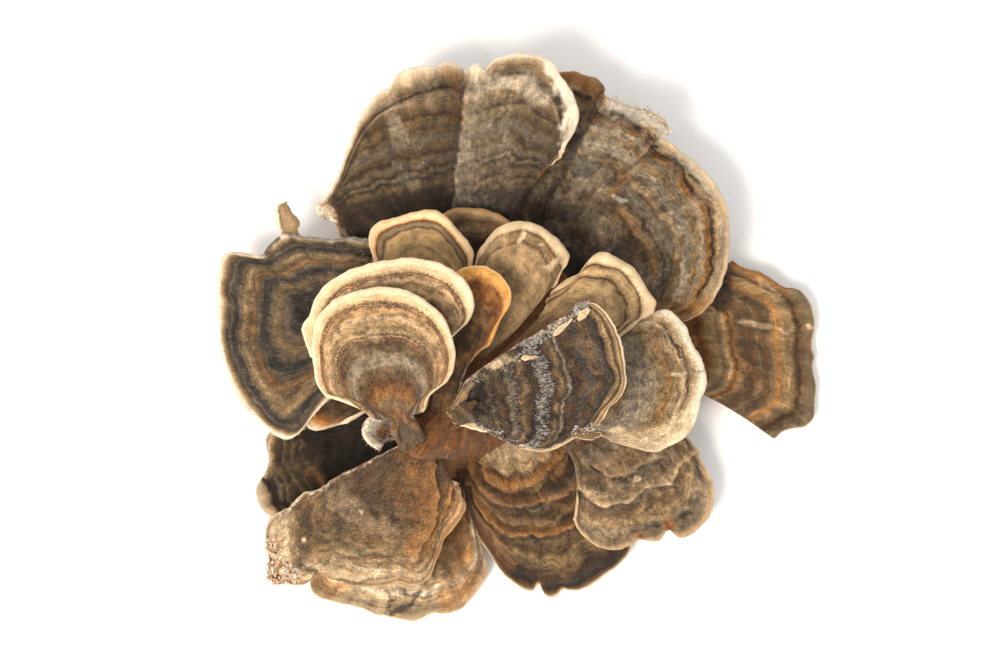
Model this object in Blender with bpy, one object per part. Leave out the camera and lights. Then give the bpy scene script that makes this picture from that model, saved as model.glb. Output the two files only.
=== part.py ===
"""A turkey tail fungus: a rosette of thin zoned caps that grew from one base, picked and cut flat underneath.

Metres in Blender, millimetres in the tables below, +Z up. The origin is on the flat cut, under the middle
of the rosette. Each cap is one thin sheet. It leaves the base at its root, turns outwards over its heart line
and spreads from there to its margin. Every cap stops a hair short of the base.
"""

import math
from dataclasses import dataclass

import bmesh
import bpy
import numpy as np
from mathutils import Vector

MM = 0.001
CLEARANCE = 0.4  # gap between a cap's root and the base, mm

# The base: rings from the flat cut upwards, as (height, centre x, centre y, half length, half width), mm.
BASE_TURN = math.radians(60)  # the long way of the base, from +X
BASE_RINGS = (
    (0, -6, -4, 36, 19),
    (3, -6, -4, 36.5, 19.5),
    (8, -7, -5, 34, 17),
    (14, -12, -11.5, 24, 11.5),
    (19, -15, -16, 16, 9),
    (23, -18.5, -20.5, 10.5, 7.5),
    (26, -22, -23.5, 6.5, 5.2),
    (28, -22.5, -24.5, 4, 3.2),
)
BASE_SIDES = 26
BASE_LUMPS = ((3, 0.05, 0.4), (5, 0.04, 1.9), (8, 0.025, 0.7))  # waves round it, share of radius, phase
LUMP_DRIFT = 9  # height over which the lumps drift round the base by one radian, mm
BASE_COLOUR = (0.42, 0.31, 0.19)
BASE_ROUGHNESS = 0.95
CAP_ROUGHNESS = 0.85
CREASE_ANGLE = math.radians(50)  # faces that meet at more than this keep a sharp edge


@dataclass
class Cap:
    """One cap. Points are (x, y, z) in millimetres, on its top surface."""

    name: str
    root: tuple  # the middle of the line in which it leaves the base
    heart: tuple  # the two ends of the line its growth spreads from, in the margin's order
    margin: tuple  # points along the free edge, from one side of the cap to the other
    root_width: float = 8
    arch: float = 0  # how far the sheet bulges upwards, halfway out
    ledges: tuple = ()  # growth steps, as (share of the way out, drop)
    thickness: tuple = (3, 1.2)  # at the root and at the margin
    colour: tuple = (0.22, 0.16, 0.1)


CAPS = (
    Cap(
        name="upper_left_fan",
        root=(-8, 12, 9),
        root_width=18,
        heart=((-33, 18, 12), (-2, 34, 17)),
        margin=(
            (-42.5, 24, 13), (-45, 28, 14.5), (-48.8, 30.2, 17), (-49, 32.6, 17.5), (-46, 35, 17),
            (-43.5, 39, 18), (-41.5, 45, 19.5), (-39.5, 51, 20), (-36.5, 56, 20), (-32.5, 60, 20),
            (-30, 64, 20.5), (-26, 66, 21), (-20, 66.5, 21), (-16, 67, 20.5), (-13.3, 65, 19.5),
            (-12, 61.5, 19.5), (-10.3, 66, 22), (-6, 68, 23.5), (0, 68.8, 24.5), (6, 68, 25),
            (9.8, 65.5, 25.5), (12.7, 60, 26), (15, 55, 26), (14.4, 50, 25.5), (11, 45.4, 25),
        ),
        arch=2.5,
        colour=(0.17, 0.12, 0.07),
    ),
    Cap(
        name="upper_right_fan",
        root=(8, 16, 6),
        root_width=18,
        heart=((-3, 26, 8), (21, 11, 9.5)),
        margin=(
            (0.5, 50, 12), (6, 60, 14.5), (10, 65, 16), (14.5, 65.5, 17), (18.5, 63.8, 17), (21.8, 60, 17),
            (24.5, 57.4, 19.5), (30, 56.5, 21.5), (34.5, 54.3, 22), (37, 50.5, 21.5), (36.2, 47.8, 18.5),
            (39, 46.8, 17.5), (43.5, 43, 17.5), (47.5, 39, 17.5), (50.5, 33, 17.5), (52, 26.5, 17.5),
            (52, 20, 17), (50.5, 13.5, 16.5), (47, 7.5, 15.5), (42.5, 4.2, 14.5), (37.5, 3.5, 13),
        ),
        arch=3.5,
        colour=(0.19, 0.13, 0.08),
    ),
    Cap(
        name="left_dark_cap",
        root=(-18, -8, 13),
        root_width=10,
        heart=((-41, 9, 17.5), (-41, -7, 17.5)),
        margin=(
            (-36, 24, 21), (-41, 24.2, 20.5), (-47, 24, 20), (-51.5, 24.3, 19.5), (-55.6, 31.5, 19.5),
            (-57.4, 32.4, 19.5), (-58.4, 26, 19), (-60.3, 22.3, 18.5), (-62, 19.8, 18), (-66, 20.2, 17),
            (-70.5, 20.5, 16), (-72.8, 15, 15.5), (-73.4, 7, 15.5), (-73, 0, 15.5), (-71, -7, 15.5),
            (-68, -13, 16), (-63.5, -19, 17), (-59, -23.3, 18), (-55.5, -24.8, 18.5),
        ),
        arch=2.5,
        colour=(0.1, 0.08, 0.06),
    ),
    Cap(
        name="shaded_left_cap",
        root=(-24, -23, 10.5),
        root_width=12,
        heart=((-36, -20, 11), (-35, -32, 12)),
        margin=(
            (-42, -15, 10), (-51, -20, 9.5), (-57, -23, 9), (-61.8, -23.3, 9), (-62, -27, 8), (-61.5, -31, 8),
            (-61.5, -33.8, 9), (-64, -36.5, 9), (-64.6, -40, 8.5), (-62.5, -43.5, 8.5), (-57, -46, 9),
            (-50, -46, 10),
        ),
        arch=-1,
        ledges=((0.82, 0.8), (0.9, 0.8)),
        colour=(0.07, 0.05, 0.04),
    ),
    Cap(
        name="small_edge_cap",
        root=(-24, -18.5, 13.8),
        root_width=7,
        heart=((-39, -10, 13), (-32, -15, 13.5)),
        margin=(
            (-51, -17, 13), (-52, -21.5, 13), (-49, -23, 13), (-45, -21.8, 13.5), (-41, -19.6, 14),
        ),
        arch=1,
        colour=(0.35, 0.25, 0.14),
    ),
    Cap(
        name="lower_left_cap",
        root=(-19, -24.5, 20.5),
        root_width=7,
        heart=((-39, -32, 27.2), (-18.5, -31, 22.5)),
        margin=(
            (-59, -43, 22.5), (-60.8, -46, 20.5), (-61, -50, 18), (-60.8, -55.5, 15), (-60, -60, 13),
            (-55, -60.6, 13), (-50.3, -60, 14), (-48.5, -57.5, 15), (-44, -59.5, 15), (-37, -61, 14.5),
            (-30, -60.2, 15), (-24, -58.6, 15.5), (-19.5, -54.5, 16.5), (-17.5, -49, 17.5),
            (-14, -45, 18.5), (-12, -41.5, 19.5), (-14.5, -36, 20.5),
        ),
        arch=1,
        ledges=((0.84, 1), (0.92, 1)),
        colour=(0.27, 0.19, 0.1),
    ),
    Cap(
        name="lower_left_skirt",
        root=(-19, -27, 5),
        root_width=16,
        heart=((-35, -40, 7), (-15, -34, 6)),
        margin=(
            (-47, -52, 6.5), (-51, -58.5, 6), (-52, -63, 5.5), (-46, -66.3, 5), (-38.5, -67.8, 4.5),
            (-33, -69.8, 4), (-26, -71, 4), (-20.5, -68.6, 4.3), (-13.5, -67.5, 4.3), (-9, -63.5, 4.3),
            (-6.8, -59.5, 4.3), (-8.2, -55.3, 4.3), (-9, -50, 4.3), (-9.5, -44, 4.5), (-11, -38, 5),
        ),
        arch=1.5,
        colour=(0.3, 0.22, 0.12),
    ),
    Cap(
        name="bottom_fan",
        root=(-10, -17, 4.2),
        root_width=18,
        heart=((-15.5, -25.5, 13.5), (13, -24, 5.8)),
        margin=(
            (-13.8, -35, 9.5), (-12, -42, 7.5), (-9.8, -49, 6.5), (-7.5, -52.5, 6), (-4.5, -55.5, 5.5),
            (-2, -59, 5), (1, -62, 4.5), (4.3, -63.6, 4), (5.6, -60.8, 4), (6.8, -64.1, 4.4),
            (9.2, -64.5, 4.4), (11.8, -61.8, 4.2), (13.6, -63.5, 4.2), (17, -62.5, 4),
            (20.5, -60.2, 4.2), (25, -57, 4.5), (28, -53.5, 4.5), (29, -48, 5), (27, -41, 5.5),
        ),
        arch=0,
        ledges=((0.56, 1.8), (0.67, 1.8), (0.79, 1.8)),
        colour=(0.22, 0.14, 0.08),
    ),
    Cap(
        name="lower_right_fan",
        root=(-3.6, -17.3, 13.8),
        root_width=8,
        heart=((17.5, -24, 16.5), (32, -17, 16.5)),
        margin=(
            (14, -44.5, 12.5), (15.4, -47.5, 11.5), (17.5, -50, 10),
            (21, -52.3, 9), (25, -52.6, 8.5), (29, -50.8, 8.5), (31, -49.6, 8.5), (34, -50.7, 8.5),
            (36.6, -49.4, 8.5), (38, -46.9, 9), (39.8, -48.9, 8.5), (42.5, -49.7, 8.5), (45.5, -47, 8.5),
            (48, -43, 8.5), (49.3, -39, 9), (48.3, -34, 9.5), (46, -29.5, 10.5), (42.5, -24.5, 11.5),
        ),
        arch=2,
        ledges=((0.72, 1.4),),
        colour=(0.25, 0.2, 0.13),
    ),
    Cap(
        name="far_right_fan",
        root=(8, -1, 5),
        root_width=14,
        heart=((40, 11, 5.5), (41, -8, 5.5)),
        margin=(
            (53.8, 19.3, 6.5), (57.5, 17.2, 6.5), (61.5, 16.7, 6), (65, 14, 5.5),
            (68, 12.3, 5), (70.5, 12, 4.5), (72.5, 9.5, 4), (74, 5, 3.5), (74, 0, 4), (74.9, -5, 3.5),
            (74.2, -9, 3.5), (75, -15, 3.5), (74.2, -20.5, 3.5), (70.5, -22.6, 4.5), (67, -22.5, 6),
            (64, -25, 6),
        ),
        arch=3,
        colour=(0.28, 0.2, 0.11),
    ),
    Cap(
        name="small_tan_cap",
        root=(-15, -5.5, 16),
        root_width=8,
        heart=((-27, 12, 25.5), (-17, 11, 25.5)),
        margin=(
            (-33, 15, 28), (-35.5, 20.5, 29.3), (-35.3, 25.5, 30), (-32.5, 27.8, 30), (-28, 28.9, 30),
            (-24.5, 30.3, 30.3), (-20, 30.8, 30.4), (-17, 29.5, 30.4), (-14.5, 26.6, 30.2),
            (-12, 24.3, 30), (-10.5, 20.5, 29), (-11, 15, 27.5),
        ),
        arch=2,
        colour=(0.3, 0.23, 0.12),
    ),
    Cap(
        name="hidden_tan_cap",
        root=(-7, 2, 13),
        root_width=9,
        heart=((-15, 13, 17.5), (-4, 12, 17.5)),
        margin=(
            (-24, 23, 20), (-20.5, 28.5, 21), (-16, 31.4, 21.5), (-11.5, 31.9, 21.5), (-7, 30.8, 21.5),
            (-3, 29, 21.5), (1, 26, 21), (3, 22, 20),
        ),
        arch=1.5,
        colour=(0.25, 0.17, 0.09),
    ),
    Cap(
        name="upper_tongue",
        root=(-11.5, -5, 19),
        root_width=6,
        heart=((-9, 5, 25), (1.5, 3, 25)),
        margin=(
            (-11, 13, 27), (-10.4, 19, 28.5), (-8, 23.2, 30.5), (-5, 26.2, 31.5), (-1, 27.8, 32.5),
            (4, 27.6, 33), (8, 25.2, 32.5), (11.5, 22, 31.5), (12.8, 19, 30.5), (10.8, 16, 29.5),
            (9, 13, 28.8),
        ),
        arch=3,
        colour=(0.32, 0.25, 0.15),
    ),
    Cap(
        name="lower_tongue",
        root=(-5, -7.6, 20.3),
        root_width=6,
        heart=((5, 3, 22.5), (10, -5, 23.5)),
        margin=(
            (9, 11.5, 23), (13, 14.8, 25), (16.5, 17.8, 27), (20.5, 20.8, 28), (24.5, 19, 28.5),
            (28.5, 16, 28.5), (31.6, 11.8, 28), (33.4, 8.4, 27.5), (32, 5.5, 27.2), (28.5, 2.5, 27),
            (23, -1.5, 26.5), (17, -5, 26),
        ),
        arch=3,
        colour=(0.31, 0.24, 0.14),
    ),
    Cap(
        name="grey_fan",
        root=(-8, -13.9, 16.5),
        root_width=6,
        heart=((13, -8, 19.5), (12, -19, 19.5)),
        margin=(
            (21, 0, 19.5), (27, 3.3, 20), (31, 5.2, 20.5), (35, 7, 21), (38, 6.6, 21.5), (40.6, 3, 22),
            (43, -2, 22), (45.2, -5, 22), (46.2, -9.5, 22), (45.2, -13.5, 22), (44.2, -18, 21.5),
            (42.8, -22, 21), (40.2, -25.2, 20.5), (36.5, -26.9, 20), (33, -28, 20), (28, -27, 20),
            (22.5, -25.3, 20),
        ),
        arch=3.5,
        colour=(0.33, 0.28, 0.2),
    ),
    Cap(
        name="dark_wedge_cap",
        root=(-10.5, -16.5, 23),
        root_width=6,
        heart=((-20, -13.5, 34.5), (-17.5, -17, 34)),
        margin=(
            (15.3, 8, 38), (18.3, 8.4, 38.5), (20.8, 6.3, 39), (23, 3, 39.3), (24.5, -1, 39.3),
            (25.5, -6, 39), (26, -10.5, 38.5), (24.6, -14.5, 37.8), (21.4, -17, 37), (21.3, -19.6, 36.5),
            (18, -21.6, 36), (14, -23, 35.5), (10, -25.8, 34.8), (5.5, -27, 34.3), (0.5, -26.4, 33.8),
        ),
        arch=1.5,
        thickness=(3, 1.4),
        colour=(0.1, 0.09, 0.07),
    ),
    Cap(
        name="amber_cap",
        root=(-18.5, -25.5, 23.5),
        root_width=7,
        heart=((-18.5, -5, 31), (-13.6, -6, 30)),
        margin=(
            (-16.8, 10, 35.5), (-15, 15, 36.3), (-11.5, 16.9, 37), (-7.5, 16.9, 37.3),
            (-4, 14.8, 37.3), (-1.8, 11.5, 37), (-1.4, 7.6, 36.5), (-3.3, 4.7, 35.5), (-5, 1.5, 34.5),
            (-6.5, -2, 33.3),
        ),
        arch=1.5,
        colour=(0.42, 0.22, 0.08),
    ),
    Cap(
        name="back_cream_cap",
        root=(-23, -20, 24.5),
        root_width=6,
        heart=((-34, -9.5, 37), (-25.5, -9, 37)),
        margin=(
            (-48.3, -4.5, 42.5), (-49.9, -1, 43), (-50.7, 2.2, 43.3), (-48.6, 5, 43.5),
            (-48, 8, 44), (-45.8, 11.4, 44.5), (-41.5, 14.5, 45), (-36, 17, 45), (-31, 18.3, 45),
            (-26, 18.8, 45), (-20, 18, 44.8), (-15.6, 16.3, 44.3), (-12, 13.5, 43.7), (-10.1, 9.5, 43),
            (-10, 6.5, 42.7), (-11.8, 3.5, 42.2),
        ),
        arch=2,
        colour=(0.5, 0.37, 0.22),
    ),
    Cap(
        name="front_cream_cap",
        root=(-24.5, -26, 28.5),
        root_width=7,
        heart=((-31.3, -17.6, 44.5), (-26, -17.2, 44.5)),
        margin=(
            (-44.8, -13.6, 47.6), (-47, -10, 48.5), (-47.5, -5, 49),
            (-47.6, 0, 49.3), (-46.6, 4, 49.5), (-44.3, 7.6, 49.8), (-40, 10.1, 50), (-35, 11.6, 50.2),
            (-30.5, 11.9, 50.3), (-26, 11, 50.3), (-21.5, 9, 50.2), (-18.3, 6.4, 50), (-16, 3, 49.6),
            (-14.8, 0, 49.3), (-14.3, -4.5, 48.8), (-15, -8, 48.4), (-17, -11, 47.6),
        ),
        arch=2,
        colour=(0.5, 0.38, 0.24),
    ),
    Cap(
        name="torn_curl",
        root=(-26.2, -22.8, 26),
        root_width=4,
        heart=((-30.5, -20.5, 31), (-31.5, -23.8, 30.3)),
        margin=(
            (-31.8, -18.9, 34), (-34.5, -18.6, 33.5), (-36.6, -20.6, 33), (-36.4, -23.2, 32.5),
            (-34.4, -25.4, 32.3), (-32, -26.6, 32.3),
        ),
        arch=-1.5,
        thickness=(2, 1),
        colour=(0.45, 0.38, 0.3),
    ),
)

ROWS = (0, 0.2, 0.42, 0.64, 0.84, 1)  # rows of the sheet, as shares of the way out
HEART_PULL = 1.6  # how closely a cap passes over its heart line on its way out
LEDGE_RUN = 0.015  # share of the way out over which a ledge drops
NOTCH_SMOOTHING = 4  # passes that even out the margin's notches for the rows nearer the root


def lerp(start, end, share):
    return start + (end - start) * share


def arc_shares(points):
    """How far along the polyline each of its points lies, from 0 to 1."""
    steps = np.linalg.norm(np.diff(points, axis=0), axis=1)
    run = np.concatenate([[0], np.cumsum(steps)])
    return run / run[-1]


def evened(points):
    """The polyline with its notches smoothed away and its ends kept."""
    line = points.copy()
    for _ in range(NOTCH_SMOOTHING):
        line[1:-1] = (line[:-2] + 2 * line[1:-1] + line[2:]) / 4
    return line


def root_line(cap, heart, shares):
    """Points across the cap's root, square to the way its neck runs and as far either side of its middle."""
    root = np.array(cap.root, float)
    along = heart.mean(axis=0) - root
    across = np.array([-along[1], along[0], 0])
    across /= np.linalg.norm(across)
    if across @ (heart[0] - heart[-1]) < 0:
        across = -across
    return root + (0.5 - shares) * across * cap.root_width


def ledge_lift(cap, share):
    """How far the ledges further out leave this row of the top above the sheet."""
    return sum(drop for place, drop in cap.ledges if share <= place)


def bulge(t):
    """How much of the arch a row gets: nothing at the root and the margin, all of it halfway out."""
    return 4 * t * (1 - t)


def cap_rows(cap):
    """The cap's sheet from root to margin: its rows of points, and each row's share of the way out."""
    margin = np.array(cap.margin, float)
    shares = arc_shares(margin)[:, None]
    heart = lerp(np.array(cap.heart[0], float), np.array(cap.heart[1], float), shares)
    root = root_line(cap, heart, shares)
    even = evened(margin)
    places = set(ROWS)
    for place, _ in cap.ledges:
        places |= {place, place + LEDGE_RUN}
    places = sorted(places)
    rows = []
    for t in places:
        weights = (1 - t) ** 2, 2 * HEART_PULL * t * (1 - t), t**2
        outer = lerp(even, margin, t**3)
        row = (weights[0] * root + weights[1] * heart + weights[2] * outer) / sum(weights)
        row[:, 2] += cap.arch * bulge(t)
        rows.append(row)
    return np.array(rows), places


def sheet_normals(rows):
    """Unit normals of a grid of points, all turned upwards: each is the mean of the quads round its point."""
    quads = np.cross(rows[1:, 1:] - rows[:-1, :-1], rows[1:, :-1] - rows[:-1, 1:])
    normals = np.zeros_like(rows)
    for corner in (normals[:-1, :-1], normals[:-1, 1:], normals[1:, :-1], normals[1:, 1:]):
        corner += quads
    normals /= np.linalg.norm(normals, axis=2, keepdims=True)
    return normals * np.where(normals[..., 2].mean() < 0, -1, 1)


def grid_faces(bm, grid, flip):
    """Quads over a grid of vertices."""
    for lower, upper in zip(grid, grid[1:]):
        for i in range(len(lower) - 1):
            face = (lower[i], lower[i + 1], upper[i + 1], upper[i])
            bm.faces.new(face[::-1] if flip else face)


def material(name, colour, roughness):
    made = bpy.data.materials.new(name)
    made.use_nodes = True
    shader = made.node_tree.nodes["Principled BSDF"]
    shader.inputs["Base Color"].default_value = (*colour, 1)
    shader.inputs["Roughness"].default_value = roughness
    shader.inputs["Metallic"].default_value = 0
    return made


def add_object(name, bm, parent, made_of):
    """The bmesh, in millimetres in the rosette's frame, as an object whose origin is its middle."""
    middle = sum((vertex.co for vertex in bm.verts), start=Vector()) / len(bm.verts)
    for vertex in bm.verts:
        vertex.co = (vertex.co - middle) * MM
    if bm.calc_volume(signed=True) < 0:
        bmesh.ops.reverse_faces(bm, faces=bm.faces)
    mesh = bpy.data.meshes.new(name)
    bm.to_mesh(mesh)
    bm.free()
    mesh.shade_smooth()
    mesh.set_sharp_from_angle(angle=CREASE_ANGLE)
    obj = bpy.data.objects.new(name, mesh)
    obj.location = middle * MM
    obj.parent = parent
    obj.data.materials.append(made_of)
    bpy.context.scene.collection.objects.link(obj)
    return obj


def base_mesh(grow):
    """The fused base, swollen by grow millimetres, with its flat cut at z = 0."""
    bm = bmesh.new()
    turn = np.array([math.cos(BASE_TURN), math.sin(BASE_TURN)])
    side = np.array([-turn[1], turn[0]])
    loops = []
    for height, x, y, half_length, half_width in BASE_RINGS:
        loop = []
        for i in range(BASE_SIDES):
            angle = 2 * math.pi * i / BASE_SIDES
            drift = height / LUMP_DRIFT
            lump = 1 + sum(share * math.sin(n * angle + phase + drift) for n, share, phase in BASE_LUMPS)
            long_way = (half_length * lump + grow) * math.cos(angle)
            short_way = (half_width * lump + grow) * math.sin(angle)
            place = np.array([x, y]) + long_way * turn + short_way * side
            loop.append(bm.verts.new((*place, height if height == 0 else height + grow)))
        loops.append(loop)
    for lower, upper in zip(loops, loops[1:]):
        for i in range(BASE_SIDES):
            j = (i + 1) % BASE_SIDES
            bm.faces.new((lower[i], lower[j], upper[j]))
            bm.faces.new((lower[i], upper[j], upper[i]))
    bm.faces.new(loops[0][::-1])
    bm.faces.new(loops[-1])
    return bm


def cap_mesh(cap):
    """The cap as a closed sheet: its zoned top, its pored underside and the thin edge between them.

    The top has a row either side of each ledge, and the underside runs on under the ledges without a step.
    """
    rows, places = cap_rows(cap)
    normals = sheet_normals(rows)
    bm = bmesh.new()
    top_grid, under_grid, under_at = [], [], []
    for i, (row, t) in enumerate(zip(rows, places)):
        lift = np.array([0, 0, ledge_lift(cap, t)])
        top_grid.append([bm.verts.new(point + lift) for point in row])
        if t in ROWS:
            under = row - normals[i] * lerp(*cap.thickness, t)
            under_grid.append([bm.verts.new(point) for point in under])
            under_at.append(i)
    grid_faces(bm, top_grid, flip=False)
    grid_faces(bm, under_grid, flip=True)
    grid_faces(bm, (under_grid[0], top_grid[0]), flip=False)
    grid_faces(bm, (top_grid[-1], under_grid[-1]), flip=False)
    for k in range(len(under_at) - 1):
        span = top_grid[under_at[k] : under_at[k + 1] + 1]
        for side, order in ((0, 1), (-1, -1)):
            edge = [row[side] for row in span]
            face = edge + [under_grid[k + 1][side], under_grid[k][side]]
            bm.faces.new(face[::order])
    return bm


def main():
    for obj in list(bpy.data.objects):
        bpy.data.objects.remove(obj, do_unlink=True)
    rosette = bpy.data.objects.new("rosette", None)
    bpy.context.scene.collection.objects.link(rosette)

    base_tissue = material("base_tissue", BASE_COLOUR, BASE_ROUGHNESS)
    add_object("fused_base", base_mesh(0), rosette, base_tissue)
    clearance = add_object("base_clearance", base_mesh(CLEARANCE), rosette, base_tissue)
    clearance.hide_render = True
    clearance.display_type = "WIRE"

    for cap in CAPS:
        sheet = add_object(cap.name, cap_mesh(cap), rosette, material(cap.name, cap.colour, CAP_ROUGHNESS))
        cut = sheet.modifiers.new("stops_at_base", "BOOLEAN")
        cut.operation = "DIFFERENCE"
        cut.solver = "EXACT"
        cut.object = clearance


main()
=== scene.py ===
"""A turkey tail fungus: the zoned skins, pale rims, pored undersides and torn flesh of its rosette of caps.

Millimetres in the tables below, metres in Blender, +Z up. Every cap is one sheet. It leaves the base at its
root, turns outwards over its heart line and spreads to its margin, whose height is read from the frame. Depth
is how far in from the margin a place lies: the growth zones, the ridges and the colours all follow it.
"""

import math
from contextlib import contextmanager
from dataclasses import dataclass

import bmesh
import bpy
import numpy as np
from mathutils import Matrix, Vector


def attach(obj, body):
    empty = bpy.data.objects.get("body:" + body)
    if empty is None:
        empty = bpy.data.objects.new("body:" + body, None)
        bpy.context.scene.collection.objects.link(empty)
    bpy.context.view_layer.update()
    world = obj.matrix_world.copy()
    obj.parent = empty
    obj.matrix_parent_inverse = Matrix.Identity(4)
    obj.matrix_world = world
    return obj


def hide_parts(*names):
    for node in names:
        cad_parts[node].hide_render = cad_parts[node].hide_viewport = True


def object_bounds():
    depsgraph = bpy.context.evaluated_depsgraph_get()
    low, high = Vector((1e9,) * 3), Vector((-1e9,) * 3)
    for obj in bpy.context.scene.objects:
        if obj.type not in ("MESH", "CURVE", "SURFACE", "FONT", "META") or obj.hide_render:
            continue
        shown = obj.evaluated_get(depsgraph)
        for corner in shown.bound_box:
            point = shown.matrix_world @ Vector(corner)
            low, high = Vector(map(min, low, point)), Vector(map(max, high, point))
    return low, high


bl_info = {
    "name": "Turkey tail fungus",
    "version": (1, 0, 0),
    "blender": (4, 5, 0),
    "location": "3D View > Sidebar > Fungus",
    "description": "Builds the rosette of zoned caps around the packed model",
    "category": "Add Mesh",
}

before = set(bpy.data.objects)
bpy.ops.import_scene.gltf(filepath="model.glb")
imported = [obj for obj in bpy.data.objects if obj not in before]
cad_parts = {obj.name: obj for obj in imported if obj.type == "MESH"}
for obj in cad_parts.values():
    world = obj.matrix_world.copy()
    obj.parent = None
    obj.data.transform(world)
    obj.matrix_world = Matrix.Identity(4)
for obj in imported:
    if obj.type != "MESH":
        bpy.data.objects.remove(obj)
CAD_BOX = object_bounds()

MM = 0.001


# ------------------------------------------------------------------ settings


def linear(rgb):
    """An sRGB colour, 0 to 255, as the linear colour that a shader reads."""
    shares = [value / 255 for value in rgb]
    return tuple(s / 12.92 if s <= 0.04045 else ((s + 0.055) / 1.055) ** 2.4 for s in shares)


def swatch(name, rgb, description):
    """A colour setting."""
    return bpy.props.FloatVectorProperty(
        name=name, description=description, subtype="COLOR", size=3, min=0, max=1, default=linear(rgb)
    )


def number(name, default, description, **kind):
    """A number setting."""
    return bpy.props.FloatProperty(name=name, description=description, default=default, **kind)


class FUNGUS_PG_palette(bpy.types.PropertyGroup):
    """The colours that the growth zones are made of."""

    cream: swatch("Cream", (234, 216, 189), "Newest growth on the brightest rims")
    peach: swatch("Peach", (231, 192, 144), "Warm rims")
    pale: swatch("Pale tan", (210, 181, 143), "Rims and light bands")
    tan: swatch("Tan", (176, 144, 103), "Light bands")
    straw: swatch("Straw", (143, 116, 79), "Middle bands")
    olive: swatch("Olive", (113, 91, 64), "Old velvet skin")
    brown: swatch("Brown", (94, 69, 44), "Dark bands")
    umber: swatch("Umber", (69, 48, 29), "Oldest skin, near the root")
    # black brown also colours the dark marks, and with them the painted shade
    black: swatch("Black brown", (42, 32, 24), "Darkest lines")
    slate: swatch("Slate", (64, 57, 50), "Blue black bands")
    grey: swatch("Grey", (111, 95, 75), "Weathered velvet")
    silver: swatch("Silver", (151, 134, 111), "Thick pale velvet")
    frost: swatch("Frost", (181, 175, 161), "Whitest velvet")
    # amber is partly the thin rims' own colour and partly a painted glow of light coming through them
    amber: swatch("Amber", (218, 158, 82), "Glowing thin rims")
    orange: swatch("Orange", (197, 137, 76), "Thin edges and ledges")
    rust: swatch("Rust", (129, 81, 39), "Warm centres and necks")
    honey: swatch("Honey", (156, 108, 58), "Warm worn skin")
    chestnut: swatch("Chestnut", (96, 56, 28), "Red brown bands")
    plum: swatch("Plum", (90, 57, 44), "Thin purple brown lines, and the holes in torn flesh")
    ochre: swatch("Ochre", (158, 104, 46), "Folded caps where their layers meet")
    biscuit: swatch("Biscuit", (192, 150, 103), "Warm bands inside a cream rim")
    ivory: swatch("Ivory", (232, 209, 172), "The rims of the cream caps")
    rime: swatch("Rime", (214, 216, 214), "Silvery hairs on the darkest skin")
    pores: swatch("Pores", (210, 185, 143), "The pored underside")


class FUNGUS_PG_skin(bpy.types.PropertyGroup):
    """The relief and the finish that all caps share."""

    ridge: number("Ridges", 0.38 * MM, "Height of the growth ridges", unit="LENGTH")
    wave: number("Waves", 0.7 * MM, "Height of the radial waves at the rim", unit="LENGTH")
    frill: number("Frill", 0.3 * MM, "How far the margin wanders in and out", unit="LENGTH")
    pore: number("Pore", 0.32 * MM, "Width of a pore of the underside", unit="LENGTH")
    roughness: number("Roughness", 0.82, "Roughness of the velvet skin", min=0, max=1, subtype="FACTOR")


class FUNGUS_PG_stage(bpy.types.PropertyGroup):
    """The floor, the light and the camera."""

    floor: number("Floor", 6, "Side of the square floor", unit="LENGTH")
    floor_colour: swatch("Floor", (248, 248, 249), "The pale floor")
    key: number("Key light", 7, "Strength of the soft key light", unit="POWER")
    key_colour: swatch("Key colour", (255, 244, 230), "Colour of the key light")
    sky: number("Sky", 0.95, "Strength of the light all round")
    camera_height: number("Camera height", 0.6944, "Height of the camera above the cut", unit="LENGTH")


# ------------------------------------------------------------------ caps


def read_points(text):
    """The points that a text lists, as "x y, x y"."""
    return tuple(tuple(map(float, point.split())) for point in text.split(","))


def headed(text):
    """The lines of a text such as "word number: x y, x y", each as its leading words and its points.

    A line that ends with a comma goes on in the next one.
    """
    for line in text.strip().replace(",\n", ",").splitlines():
        head, tail = line.split(":")
        yield head.split(), read_points(tail)


@dataclass
class Mark:
    """A feature drawn over one place of a cap: a soft spot, or a band along its points."""

    kind: str  # pale, dark, warm and torn colour the skin; shine paints light, shade paints shade and lip paints lit lips on it; raise and step lift it
    points: tuple  # shine, shade, lip and step lie only on the left of this line
    reach: float  # how far from its points it is seen
    amount: float


def ledge(lift, lit, line):
    """A growth step: the skin on the left of the line stands higher, with a pale lip that is partly painted
    light, and painted shade at its foot.
    """
    return Mark("step", line, 5, lift), Mark("lip", line, 1.8, lit), Mark("shade", line[::-1], 1.4, 1)


def read_marks(text):
    """The marks that a text lists, as "kind reach amount: points" or "ledge lift lit: points"."""
    marks = []
    for (kind, first, second), line in headed(text):
        first, second = float(first), float(second)
        marks += ledge(first, second, line) if kind == "ledge" else (Mark(kind, line, first, second),)
    return marks


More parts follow.
